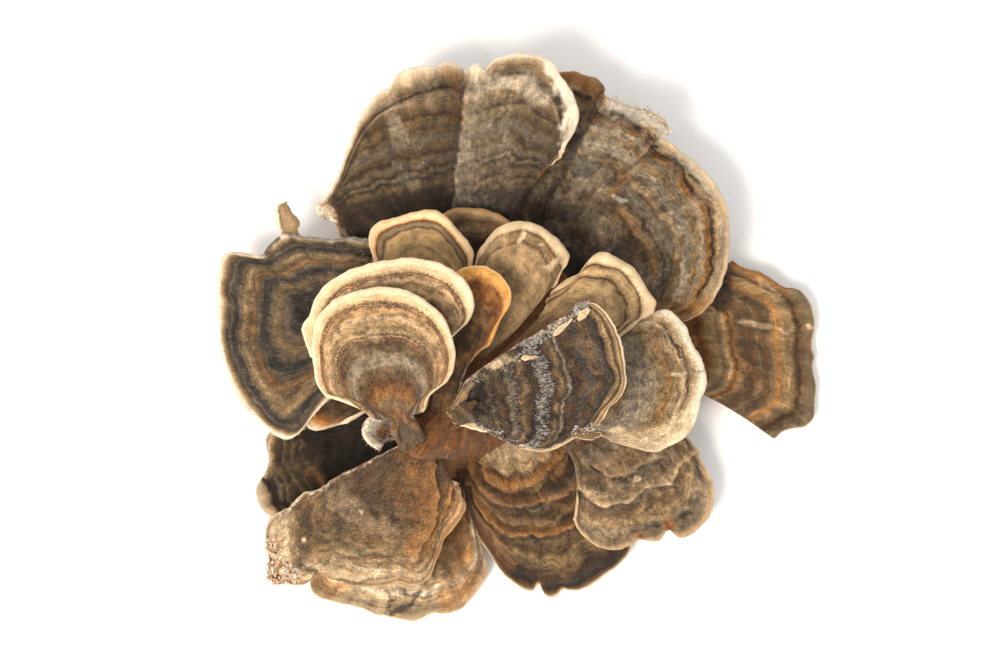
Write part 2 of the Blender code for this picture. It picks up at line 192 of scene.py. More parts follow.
@dataclass(eq=False)
class Cap:
    """One cap, in millimetres. Its margin, and every share of that, runs from one side to the other."""

    name: str
    slot: str
    root: tuple  # the point at which it leaves the base
    heart: tuple  # the ends of the line that it turns outwards over, from the margin's start to its end
    margin: str  # the points of the free edge, as x y
    zones: str  # depth and colour from the margin inwards
    root_width: float = 8
    arch: float = 0  # how high it bulges halfway out
    thickness: tuple = (3, 1.2)  # at the root and at the margin
    waist: tuple = (0, 0)  # where the neck is narrowest, as a share of the way out, and by what share
    rimmed_sides: tuple = (False, False)  # the sides that the rim also runs a little way down
    wrapped_sides: tuple = (False, False)  # the sides along which the zones turn back towards the root
    torn_sides: tuple = (False, False)  # the sides that show torn flesh
    torn_width: float = 0.8  # how wide the flesh shows along a torn side
    crowding: str = "0 1, 1 1"  # how closely the zones lie along the margin, as share and times
    sink: str = "0 0 0, 1 0 0"  # how far in the zones jump behind its rim, as share, jump and rim width
    evening: float = 0.07  # how far the margin is evened out for the rows further in, as a share of itself
    waves: float = 1  # how high its radial folds are
    ridges: float = 1  # how high its growth ridges are
    wobble: float = 0.5  # how far a zone wanders from its depth
    speckle: float = 0.15  # how far single grains stray across the edges of a zone
    velvet: float = 0.5  # how hairy the skin is
    streaks: float = 0.7  # how strongly it is streaked outwards
    mottle: float = 0.7  # how strongly it is clouded and mottled
    patches: float = 0.25  # how strongly worn patches differ from each other
    lines: float = 0.75  # how strong the fine lines between the zones are
    tone: float = 1  # how light its skin is as a whole
    veil: str = "grey"  # the colour of its clouds
    light: str = "pale"  # the colour of its pale marks, and of the painted light of its shine marks
    warm: str = "rust"  # the colour of its warm marks
    lip: str = "orange"  # the colour of the lips of its ledges, partly their own pale edge and partly painted light
    marks: str = ""  # as read_marks reads them
    hair_colour: str = "cream"
    hair_shade: str = "frost"  # the colour of the hairs between
    hairs: str = ""  # bands, as depth from, depth to, hairs to a square mm, length, lift, width if not 0.07
    tufts: str = ""  # torn fibres, as "reach, fibres to a square mm, length, width: points"
    flaps: str = ""  # torn or curled tags, as "zone depth, widths along it: centre line points"

    def __post_init__(self):
        self.margin = np.array(read_points(self.margin))
        self.crowding, self.sink = np.array(read_points(self.crowding)), np.array(read_points(self.sink))
        self.zones = [(float(depth), colour) for depth, colour in map(str.split, self.zones.split(","))]
        self.marks = read_marks(self.marks)
        self.hairs = read_points(self.hairs) if self.hairs else ()
        self.tufts = [(line, *map(float, sizes)) for sizes, line in headed(self.tufts)]
        self.flaps = [
            (line, tuple(map(float, widths)), float(deep)) for (deep, *widths), line in headed(self.flaps)
        ]


LARGE_FANS = (
    Cap(
        "upper_left_fan", "brown_zoned_skin", root=(-8, 12, 9), root_width=18,
        heart=((-33, 18, 12), (-2, 34, 17)), arch=2.5,
        sink="""
        0 26 0.9, 0.1 20 0.9, 0.2 12 1, 0.3 5.5 1.4, 0.36 2.8 2.4, 0.42 1 4, 0.48 0 5, 0.84 0 4.8,
        0.9 4 4.8, 0.95 8 4.6, 1 12 4.4""",
        velvet=0.3, streaks=0.8, mottle=0.55, patches=0.3, lines=0.5, tone=0.47, veil="brown",
        light="cream",
        margin="""
        -43.2 24.5, -44.6 28.5, -45.2 30, -48.6 30, -49.3 32, -47.2 33.8, -46 35.5, -44.5 38, -43 41,
        -42 44, -40.5 48, -39.5 51, -37.5 54.5, -36 57, -34.5 58.8, -32.6 60.3, -31.6 60, -30.5 62,
        -29.5 64, -27 65.3, -23 65.8, -19 66.2, -17.5 67.3, -15 67.2, -13 66, -12.3 62.5, -12 60.5,
        -11.5 63.5, -10.6 66.6, -9 67, -8 65, -7.5 64.3, -6.5 66.2, -5 67.7, -2 68.4, 1 68.8, 5 68.4,
        8 67.2, 9.5 65.5, 11 63, 12.5 60.8, 13.7 58.5, 14.8 55.7, 15.2 53, 14.3 50, 12.8 47.5, 10.8 45.2""",
        # the black zones nearest the root are partly the skin's own colour and partly painted shade
        zones="""
        0 cream, 0.5 cream, 1.2 pale, 2.4 tan, 4.2 straw, 4.7 black, 5.1 plum, 5.5 tan, 6.6 pale,
        7.8 tan, 9 straw, 9.8 olive, 10.3 chestnut, 10.9 straw, 12 straw, 12.7 olive, 13.6 straw,
        15.2 silver, 16.4 straw, 17.2 olive, 17.8 brown, 18.6 straw, 19.4 silver, 20.4 olive, 20.8 umber,
        21.3 straw, 21.8 silver, 22.4 umber, 23 olive, 24 straw, 25.2 olive, 26 umber, 26.8 straw,
        28 brown, 29 olive, 30 umber, 31.2 umber, 31.8 slate, 34 black, 38 black, 50 umber""",
        # the shine mark paints light on the raised right lobe and the shade mark paints shade on the lower
        # skin beside it; the dark marks along the heart line paint the shade under the caps that lie over it
        marks="""
        pale 3.2 0.9: 8.6 66, 12.5 59.4, 14.3 54, 12.9 49
        dark 0.7 0.9: 8.8 60, 10.6 56, 10.5 51
        pale 2 0.65: -10.5 66.4, -10.5 63
        pale 3 0.5: -9 61.6, -4 62.4, 2 61.6, 6.6 58
        pale 3 0.2: -8 57, -3 58, 3 56
        pale 2.6 0.3: -32 61, -26 62, -20 62.6
        pale 1.8 1: -49 31.6, -46.6 31.6, -45 28.5, -43.4 25
        pale 2.4 0.36: -29.4 52.6, -28.6 50
        pale 1.6 0.2: -29.5 42, -27.5 40
        pale 1.8 0.25: -27 38.5, -25 36.8
        pale 3 0.3: -36 56, -32 58
        warm 2.6 0.55: -15 64.5, -14 60, -14 54
        shine 10 0.42: -12.6 58, -13.2 54, -14 48, -15 40, -15.4 34
        pale 2.4 0.25: -2.5 56, -3 46, -2.5 38
        pale 2.4 0.22: -11 50, -11.6 44, -12 37
        dark 2.4 0.5: 4.8 54, 5.4 46, 3 38
        dark 4 0.5: 9 46, 6 38, 2 32
        shade 8 0.8: -15.4 34, -15 40, -14 48, -13.2 54, -12 61
        dark 2.8 0.95: -43 27, -38 30, -30 32.6, -23 34, -16.5 35, -9 34.4, -1.5 33, 6 30
        dark 7 0.85: -40 29, -30 30, -18 30
        dark 4 0.35: -10 32, -4 33, 2 31
        dark 5 0.3: -40 40, -32 38.6, -24 39
        lip 1.3 1: -48.4 32.4, -46 31.8, -44.8 28.6, -43.4 24.8
        step 9 1.4: -12 61, -13 56, -14.5 50, -17 38
        raise 3.4 1.1: 9 65.5, 12.6 59, 14.2 53.5, 12.8 49""",
    ),
    Cap(
        "upper_right_fan", "brown_zoned_skin", root=(8, 16, 6), root_width=18,
        heart=((-3, 26, 8), (21, 11, 9.5)), arch=3.5, rimmed_sides=(False, True), wobble=0.8, velvet=0.3,
        streaks=0.55, mottle=0.8, patches=0.45, tone=0.78, veil="silver", light="frost", warm="honey",
        hair_shade="silver",
        margin="""
        0.5 50, 4 57, 8 63.2, 10 65, 14 65.3, 17 64.2, 20 63, 21.5 61.5, 22 60, 21.6 58.8, 23 58.2,
        25 57.6, 27 56.4, 29 56.2, 31 55.8, 33 55, 35.5 53.6, 37 51.5, 36.6 49.3, 35.6 48.2, 38 47.2,
        41 44.8, 43.5 43, 46 40.4, 48.5 37.7, 50.5 34, 51.6 30, 52.1 26, 52 21, 51.3 17, 50 12.8,
        48.3 9.2, 45.5 6, 42.5 4.2, 40 3.8, 37.5 3.5""",
        zones="""
        0 pale, 0.5 pale, 1.2 tan, 2 silver, 2.8 tan, 3.5 straw, 3.9 umber, 4.3 black, 4.7 rust,
        5.5 honey, 6.2 straw, 6.9 silver, 7.8 straw, 9 straw, 10 silver, 11.3 silver, 12 olive,
        13.4 straw, 14.3 brown, 15 grey, 16.5 grey, 17.4 brown, 18.2 olive, 19 straw, 20 olive,
        21.2 brown, 22.6 olive, 26 grey, 30 brown, 36 black, 52 black""",
        # the shade mark paints the shade on the lower left lobe beside the raised middle lobe
        marks="""
        shade 9 0.85: 10 36, 15 45, 21 57, 22 61
        warm 3 0.9: 10 64, 16 63, 21 60
        pale 2 0.8: 23 56.6, 29 54.8, 34 53, 35.8 50
        pale 2 0.45: 40 45, 45 40, 49 35
        pale 1.6 0.35: 51 28, 50.6 22
        dark 0.6 1: 23 54.6, 26 53.4, 28.6 51.4, 31.4 49.6, 32 47.6, 34 46.6
        dark 0.5 0.8: 25 50, 27 48.4
        dark 0.6 0.9: 38.4 44, 39.6 42.4, 41.6 41.6, 42.4 39.8, 44.6 38
        raise 2.2 1.2: 23 56.8, 29 55, 34 53, 35.6 50
        raise 1.1 -0.8: 29.4 53.6, 30.4 51.6
        pale 4.6 0.34: 24 51, 19 45, 15 38
        pale 2 0.3: 17 44, 15 41
        dark 0.8 0.6: 33 45, 28 42, 22 37.5
        warm 1.8 0.5: 30 43, 23 36
        pale 0.6 0.7: 23.6 34.6, 26.6 33.4
        warm 3.4 0.75: 46 8, 40 6, 34 6, 29 8
        dark 8 0.7: 20 16, 14 22, 8 28
        dark 0.5 0.9: 26.3 33, 30 29.6, 32.8 25.5, 35 21.6, 36 18.5, 35.6 14
        warm 1 0.5: 24.6 32, 29 27, 32.4 21, 33.8 16
        dark 4 0.5: 23 24, 28 17
        step 8 1.6: 22 61, 16 49, 11 40, 8 32
        step 8 -1.4: 35 48.5, 30 43.5, 24 39, 18 33
        step 4 0.6: 35 12, 36 18.5, 32.8 25.5, 26.3 33""",
        tufts="""
        1.2 2.2 0.9 0.3: 22.4 57.6, 27 56.4, 31 55.2, 35 53.2, 36.4 50.4""",
    ),
    Cap(
        "far_right_fan", "tan_zoned_skin", root=(8, -1, 5), root_width=14,
        heart=((40, 11, 5.5), (41, -8, 5.5)), arch=3, waves=2, velvet=0.3, streaks=0.8, mottle=0.5,
        patches=0.4, lines=0.3, tone=0.98, veil="rust", warm="honey",
        margin="""
        53.8 19.3, 55 18, 57.5 17, 60.5 16.6, 62.5 15.4, 65 13.7, 67 12.4, 69 12.6, 70.5 12, 72 10.2,
        73.4 7.6, 74 5, 74.3 3, 74 0.5, 73.4 -1, 74.2 -3.4, 74.8 -5, 73.8 -6.2, 73.9 -8.5, 74.7 -11,
        74.4 -15, 74.3 -19.3, 73.3 -21, 71.5 -22.3, 69 -22.2, 66.5 -23, 64.5 -24.6, 63.5 -25""",
        zones="""
        0 pale, 0.3 straw, 0.8 olive, 1.4 grey, 2.2 olive, 3 olive, 3.8 brown, 4.3 umber, 4.9 brown,
        5.7 straw, 7.5 straw, 9.4 honey, 10.6 olive, 11.6 brown, 12.6 brown, 13.6 olive, 14.6 brown,
        17 brown, 18 olive, 19 honey, 19.6 brown, 20.4 honey, 21.2 tan, 22 straw, 22.8 olive, 23.6 straw,
        25.4 straw, 26.4 rust, 27.4 chestnut, 28.4 rust, 31 rust, 45 umber""",
        # the pale line and the shade mark along the radial fold paint its lit ridge and the shadow below it
        marks="""
        pale 0.8 0.6: 55.5 4, 62 2.8, 68 1.7
        step 6 1: 54 4.2, 62 2.5, 71 1.3
        shade 2.4 0.4: 71 1.3, 62 2.5, 54 4.2
        dark 2.6 0.9: 48 11, 52 14, 50 8
        pale 1 1: 72.8 3.4, 73.4 3
        warm 1.9 0.8: 54 18, 60 15.8, 65.4 12.6
        pale 0.7 0.5: 60 14.6, 62.6 12.4, 65 10.6
        dark 2.4 0.6: 61.5 -22, 66 -20, 70 -19.5
        raise 1.6 0.9: 68 12, 71.5 9.6, 73.4 5
        raise 2 1: 66 -21.4, 70 -20""",
    ),
)

LEFT_CAPS = (
    Cap(
        "left_dark_cap", "dark_zoned_skin", root=(-18, -8, 13), root_width=10,
        heart=((-41, 9, 17.5), (-41, -7, 17.5)), arch=2.5, evening=0.1, wrapped_sides=(False, True),
        speckle=0.3, velvet=0.7, streaks=0.6, mottle=0.6, patches=0.3, lines=0.5, tone=0.6, lip="pale",
        margin="""
        -33 22.6, -36 24, -40 24.5, -44 24, -48 24.5, -51 24.6, -53.5 25, -55.8 25.6, -58 25, -59.2 23.8,
        -60.3 22.6, -61.5 21, -62 20, -64 20.2, -67 20.8, -70 21.3, -71.5 20.6, -72.6 18.5, -73.1 15,
        -73.2 10, -73.2 5, -72.9 0, -72.2 -4, -71.3 -8, -70 -11.2, -68.3 -14.5, -66 -17.4, -63.5 -20,
        -61 -22.2, -58.8 -23.8, -57 -24.7, -55.2 -24.7, -53.5 -23.8, -51.8 -22.3""",
        zones="""
        0 cream, 0.8 cream, 1.3 tan, 1.8 olive, 2.4 slate, 2.9 grey, 3.4 slate, 4.1 slate, 4.7 grey,
        5.3 straw, 5.9 tan, 6.5 straw, 7.2 olive, 7.9 honey, 8.3 olive, 9 grey, 9.6 slate, 10.4 slate,
        11.2 grey, 12 straw, 12.8 olive, 13.4 grey, 14 slate, 14.8 black, 16.6 black, 17.4 rust,
        18.4 umber, 19.4 brown, 20.6 black, 26 umber, 40 umber""",
        marks="""
        dark 1.6 0.7: -36 24, -48 24.2, -54 24.5
        dark 1.8 0.9: -58.6 24, -61 21.5
        pale 1.7 0.9: -55.6 31, -57 31, -57 27.6
        dark 1.1 0.9: -44.2 22.6, -42 22.8
        raise 2 0.8: -56 31, -56.4 25""",
        hairs="0 0.5 9 0.9 0, 0.5 2 1.2 0.8 0.4, 2 20 0.12 0.7 0.5",
        flaps="""
        1 4 4.8 4.4 3.6 2.4: -55.2 24 17.4, -55 26.8 18.6, -55.8 29.8 19.3, -57 32.8 19.3
        0 1.6 1.4 0.8: -57.6 27 19.8, -58 29 20.4, -58.4 31.4 20.4""",
    ),
    Cap(
        "shaded_left_cap", "dark_zoned_skin", root=(-24, -23, 10.5), root_width=12,
        heart=((-36, -20, 11), (-35, -32, 12)), arch=-1, ridges=2, wobble=1.4, mottle=0.6, tone=0.15,
        veil="umber", light="silver", lip="straw",
        margin="""
        -42 -15, -51 -20, -57 -23, -61.3 -23.2, -62 -26, -61.2 -29, -61.5 -32, -62.4 -34, -64 -36,
        -64.5 -38.3, -63.8 -41, -62.4 -43, -60.5 -44.6, -57 -46, -50 -46""",
        zones="""
        0 pale, 0.9 pale, 1.8 tan, 2.4 olive, 3 umber, 4.4 brown, 5.4 umber, 7 brown, 8.6 umber,
        10.4 umber, 12 brown, 14 black, 18 umber, 24 umber, 30 black""",
        marks="""
        dark 12 0.5: -36 -20, -44 -24, -46 -30
        pale 2 0.6: -63.3 -37, -63 -40, -62 -42
        pale 1 0.5: -61.7 -26, -61.6 -30, -60.8 -32.6, -59 -34.4, -58 -37, -57.6 -39.4
        dark 0.8 1: -62.4 -34.4, -60.7 -36, -59.6 -38, -59.2 -40.4, -58 -42.2
        dark 1.2 0.9: -55 -27, -54.8 -30, -53.6 -32
        warm 1 0.7: -51.6 -32.6, -49.6 -33.4, -48 -36
        step 2 0.9: -58.6 -42.2, -59.4 -40, -59.8 -38, -61 -36, -62.6 -34.4
        ledge 1 0.8: -60.4 -25, -60.4 -30.4, -59.6 -32.9, -57.8 -35, -56.8 -37.2, -56.4 -39.8, -55.2 -42
        ledge 0.9 0.7: -57.7 -25.4, -58 -29.2, -57.4 -31.6, -55.3 -34.2, -54.4 -35.6, -52.6 -39
        ledge 0.7 0.6: -55.6 -25.6, -55.8 -29.8, -54.8 -32.4, -52.8 -33.4, -52.6 -34.4, -51.2 -37
        ledge 0.7 0.55: -53.4 -25.6, -52.8 -30.6, -51.6 -32.2, -49.4 -33.6, -48 -36.6""",
    ),
    Cap(
        "small_edge_cap", "tan_zoned_skin", root=(-24, -18.5, 13.8), root_width=7,
        heart=((-39, -10, 13), (-32, -15, 13.5)), arch=1, rimmed_sides=(False, True),
        margin="-51 -17, -52 -20.5, -51 -22.5, -49 -22.9, -47 -22.3, -45 -21.8, -43 -20.8, -41 -19.6",
        zones="0 cream, 1 pale, 1.6 orange, 2.4 rust, 3.6 brown, 6 umber, 16 umber",
    ),
)

LOWER_CAPS = (
    Cap(
        "lower_left_cap", "tan_zoned_skin", root=(-19, -24.5, 20.5), root_width=7,
        heart=((-39, -32, 27.2), (-18.5, -31, 22.5)), arch=1, torn_sides=(True, False), torn_width=0.35,
        ridges=1.3, velvet=0.9, streaks=0.4, mottle=0.6, tone=0.8, veil="rust", warm="ochre",
        hair_shade="orange",
        margin="""
        -59 -43, -60 -44.5, -60.8 -46.5, -61.2 -48, -60.8 -50, -61.3 -51.5, -60.4 -53, -60.6 -56,
        -61.5 -57.8, -61 -59.6, -59 -60.4, -56 -60.3, -53 -60.8, -50.8 -60.2, -50 -58.5, -48.5 -57.5,
        -46 -58.6, -44 -59.5, -41 -60.6, -37 -61.1, -33 -60.8, -30 -60, -28.5 -59.6, -26.5 -60.8,
        -23.5 -60.6, -21 -58.8, -19.6 -55, -18.5 -52, -17.5 -49, -15.8 -47, -14 -45, -13 -43, -12 -41,
        -13 -38.5, -14.5 -36""",
        zones="""
        0 pale, 0.5 tan, 1 straw, 1.6 pale, 2.6 pale, 3.4 tan, 4.2 pale, 5.2 pale, 5.8 tan, 6.4 straw,
        7 tan, 8 straw, 9 olive, 10 straw, 11 olive, 12 straw, 13 olive, 15 olive, 17 brown, 19 olive,
        23 brown, 28 olive, 36 brown, 44 umber""",
        # the shine marks paint light on the lower ledges, the ledges paint shade at their feet, and the dark
        # mark along the dent paints its shade
        marks="""
        dark 4.5 0.42: -60 -41, -59 -46, -56 -51
        dark 4.5 0.42: -51 -50, -45 -46, -40 -42
        dark 1.6 0.45: -52 -36, -55 -42, -56 -47
        torn 2.8 1: -60.5 -50, -60.6 -54, -61 -58, -58 -59
        torn 2.2 0.9: -58 -55, -55 -57.5
        dark 1.9 0.75: -51.8 -41, -50.4 -47, -51.6 -53, -54 -56
        raise 3.2 -1.3: -51.6 -40, -50.4 -46, -51.6 -53
        raise 4 0.7: -56 -46, -56.5 -51
        pale 3.6 0.45: -55 -43.4, -57.5 -47, -56 -52
        pale 3.4 0.4: -44 -38, -38.5 -43, -32 -47
        pale 0.7 1: -37.9 -41.9, -37.7 -42.2
        pale 0.7 1: -51.6 -49.2, -51.4 -49.5
        dark 3.4 0.5: -38 -34, -35 -40
        dark 3 0.4: -47 -45, -42 -48, -36 -48
        warm 6 0.5: -24 -30, -21 -38, -21 -46, -24 -50
        warm 4 0.6: -14 -38, -15 -44, -19 -52
        dark 2.4 0.35: -30 -30, -29 -38, -31 -45
        dark 0.8 0.4: -23.4 -33, -23 -40, -25 -46, -28 -50
        ledge 1.5 0: -50.2 -54.8, -45 -54.2, -40.2 -53, -33.5 -52.2, -29 -54.2, -25.6 -55.4, -23.6 -53.6,
            -22.4 -50, -20 -46, -18.8 -41.8, -18.8 -36, -19 -31.8
        ledge 1.4 0: -51 -55.5, -46 -58.3, -38.5 -59.4, -33.5 -58, -29 -57.8, -24.8 -58.2, -22 -56,
            -20.4 -51, -18.4 -45.5, -16.2 -40.5, -14.8 -36
        lip 1.8 0.8: -25.6 -55.4, -23.6 -53.6, -22.4 -50, -20 -46, -18.8 -41.8, -18.8 -36, -19 -31.8
        lip 1.6 0.8: -24.8 -58.2, -22 -56, -20.4 -51, -18.4 -45.5, -16.2 -40.5, -14.8 -36
        shine 2.2 0.5: -50.2 -54.8, -45 -54.2, -40.2 -53, -33.5 -52.2, -29 -54.2, -25.6 -55.4
        shine 2.8 0.75: -51 -55.5, -46 -58.3, -38.5 -59.4, -33.5 -58, -29 -57.8, -24.8 -58.2""",
        hairs="1 34 0.9 0.4 0.7 0.06",
        tufts="""
        2.6 1.1 1.1 0.55: -60.2 -50, -59.8 -53, -60 -57, -57.5 -59
        2 0.9 1 0.5: -58 -55, -54 -58
        0.5 4 0.5 0.1: -59 -43.6, -46 -36""",
    ),
    Cap(
        "lower_left_skirt", "tan_zoned_skin", root=(-19, -27, 5), root_width=16,
        heart=((-35, -40, 7), (-15, -34, 6)), arch=1.5, crowding="0 1.6, 0.3 1.2, 0.6 1, 1 1", waves=1.3,
        mottle=0.6, veil="silver", warm="ochre", lip="pale",
        margin="""
        -47 -52, -50 -57, -51.5 -61, -50.8 -62.8, -49 -64.4, -46 -65.6, -42 -66.3, -38.5 -67.4,
        -35.5 -68.6, -33 -69.3, -29 -70, -26 -70.6, -23.5 -70, -21 -68.4, -19 -68.6, -16 -68.3,
        -13.5 -67.2, -11 -65, -9.4 -62.8, -8.2 -60.8, -7 -59, -6.8 -57, -7.8 -55, -8.6 -53, -9 -50,
        -9.5 -44, -11 -38""",
        zones="""
        0 pale, 0.7 tan, 1.5 silver, 2.4 straw, 3.2 silver, 4.4 tan, 5.2 pale, 6 cream, 6.8 pale, 8 tan,
        9.4 straw, 11 brown, 13 straw, 15 brown, 20 brown, 36 umber""",
        marks="""
        pale 3 0.4: -40 -63, -36 -62.4, -33 -63
        warm 2.4 0.6: -49 -60, -46 -62.4, -43 -62
        dark 1 0.8: -31 -68.4, -26.5 -66.5, -23.5 -63
        dark 2 0.5: -50 -61, -46 -64
        warm 5 0.65: -16 -46, -13 -54, -12 -61, -17 -64
        dark 3.4 0.6: -14 -46, -15 -54, -16 -60
        dark 0.7 0.6: -20.5 -56, -20 -60, -22 -64
        dark 1.2 0.5: -9.6 -50, -9 -56, -10.6 -61
        ledge 0.7 0.8: -33 -68, -31.5 -65, -32.5 -62.5, -29 -61.5, -26 -63.5, -23.5 -62, -22.5 -59""",
    ),
    Cap(
        "bottom_fan", "brown_zoned_skin", root=(-10, -17, 4.2), root_width=18,
        heart=((-15.5, -25.5, 13.5), (13, -24, 5.8)), wobble=0.7, streaks=0.6, mottle=0.45, tone=0.84,
        veil="rust",
        margin="""
        -13.8 -35, -12 -42, -10.2 -48, -9 -50.5, -7.5 -52.5, -6 -54.5, -4.5 -57, -2.5 -59.3, 0 -61.4,
        2.3 -62.8, 4.3 -63.4, 5 -62.3, 5.4 -60.8, 6 -61, 6.4 -63, 7.2 -64.3, 8.5 -64.7, 10.3 -64.2,
        11.3 -62.9, 12 -62.2, 13 -63.2, 15.5 -63.1, 18 -62, 20.5 -60.5, 23 -58.5, 26 -56.2, 28 -54,
        29 -51.5, 28.8 -47, 27 -41""",
        zones="""
        0 cream, 0.5 tan, 0.9 brown, 1.6 black, 2.8 slate, 4 umber, 5 olive, 8 straw, 9 brown, 11 olive,
        12.6 umber, 14 umber, 14.6 straw, 16.6 brown, 18 grey, 19.6 slate, 21.4 umber, 22.4 straw,
        24 honey, 25.6 umber, 26.4 tan, 28 tan, 30 pale, 33 tan, 36 tan, 38 rust, 46 umber""",
        marks="""
        dark 0.6 0.7: 6.3 -49.5, 5.9 -60
        step 3.5 0.5: 6.3 -49, 5.8 -61
        warm 3.5 0.5: -12 -30, -10 -40, -7 -48, -3 -55
        pale 5 0.35: -4 -28, 2 -30, 6 -28
        dark 3 0.5: 9 -44, 16 -44, 24 -46
        dark 2.6 0.5: 14 -54, 20 -56, 26 -53
        ledge 1.1 0.8: -9.2 -28, -9 -32, -8 -34.6, -6 -36.6, -3 -37.6, 0 -37.8, 2.6 -36.8, 5.6 -35,
            8 -33.6, 11 -30
        ledge 1.5 0.85: -13 -30, -11.6 -34.4, -8.9 -38.2, -6 -40.2, -2.6 -41.6, 1 -42, 4.3 -41.4,
            8 -40.4, 11.3 -39.6, 15 -37.6, 19 -34
        ledge 1.6 0.85: -12.4 -36, -10.3 -41, -8.4 -43.6, -6.1 -46.2, -3.6 -48.2, -1 -49, 3 -49.2,
            6.4 -49.2, 10 -48.6, 14 -47.2, 19 -45, 24 -41""",
        hairs="0 0.3 1.2 0.4 0",
    ),
    Cap(
        "lower_right_fan", "brown_zoned_skin", root=(-3.6, -17.3, 13.8),
        heart=((17.5, -24, 16.5), (32, -17, 16.5)), arch=2, rimmed_sides=(True, False), wobble=0.9,
        mottle=0.9, tone=1.05, veil="tan", lip="peach",
        margin="""
        14 -44.5, 14.5 -46, 15.5 -47.8, 17.5 -49.8, 20 -51.6, 23 -52.5, 26 -52.3, 28.5 -51.2, 30 -50,
        31 -49.6, 33 -50.4, 35 -50.4, 36.5 -49.2, 37 -47.4, 38.3 -47.2, 39 -48.8, 40 -49.6, 41.5 -49.7,
        44 -48.4, 46.5 -46, 48 -44, 49.1 -41, 49.2 -38, 48.4 -34.5, 46.5 -31, 45 -28.3, 42.5 -24.5""",
        zones="""
        0 pale, 0.9 tan, 1.8 grey, 3 olive, 3.8 slate, 4.8 grey, 6.2 straw, 8 olive, 10 brown, 12 grey,
        14 olive, 17 grey, 20 brown, 23 olive, 27 grey, 30 brown, 44 brown""",
        marks="""
        pale 0.9 1: 29.6 -34.3, 29.8 -34.3
        raise 0.8 0.8: 29.2 -34.4, 30 -34
        warm 1.2 1: 37 -46.8, 38 -46
        warm 1 0.8: 29.4 -49, 31 -48.6
        pale 3.4 0.35: 44 -36, 46.5 -42
        pale 1.5 0.4: 17 -44.6, 20 -47.6, 25 -48.6
        dark 2.2 0.4: 18 -36, 24 -37.6, 30 -35, 36 -32
        dark 0.7 0.5: 17.2 -42.5, 19 -45.6, 23 -47
        ledge 0.9 0.9: 15.5 -37, 19 -40.5, 22 -41.8, 25 -40.6, 28 -40, 32 -37, 35.5 -35.8, 38.5 -36,
            40 -32.5, 43.5 -29.5
        ledge 0.5 0.6: 19 -32, 23 -34.4, 27 -33.6, 31 -31, 35 -29.8""",
        hairs="0 0.4 1.5 0.4 0",
    ),
)

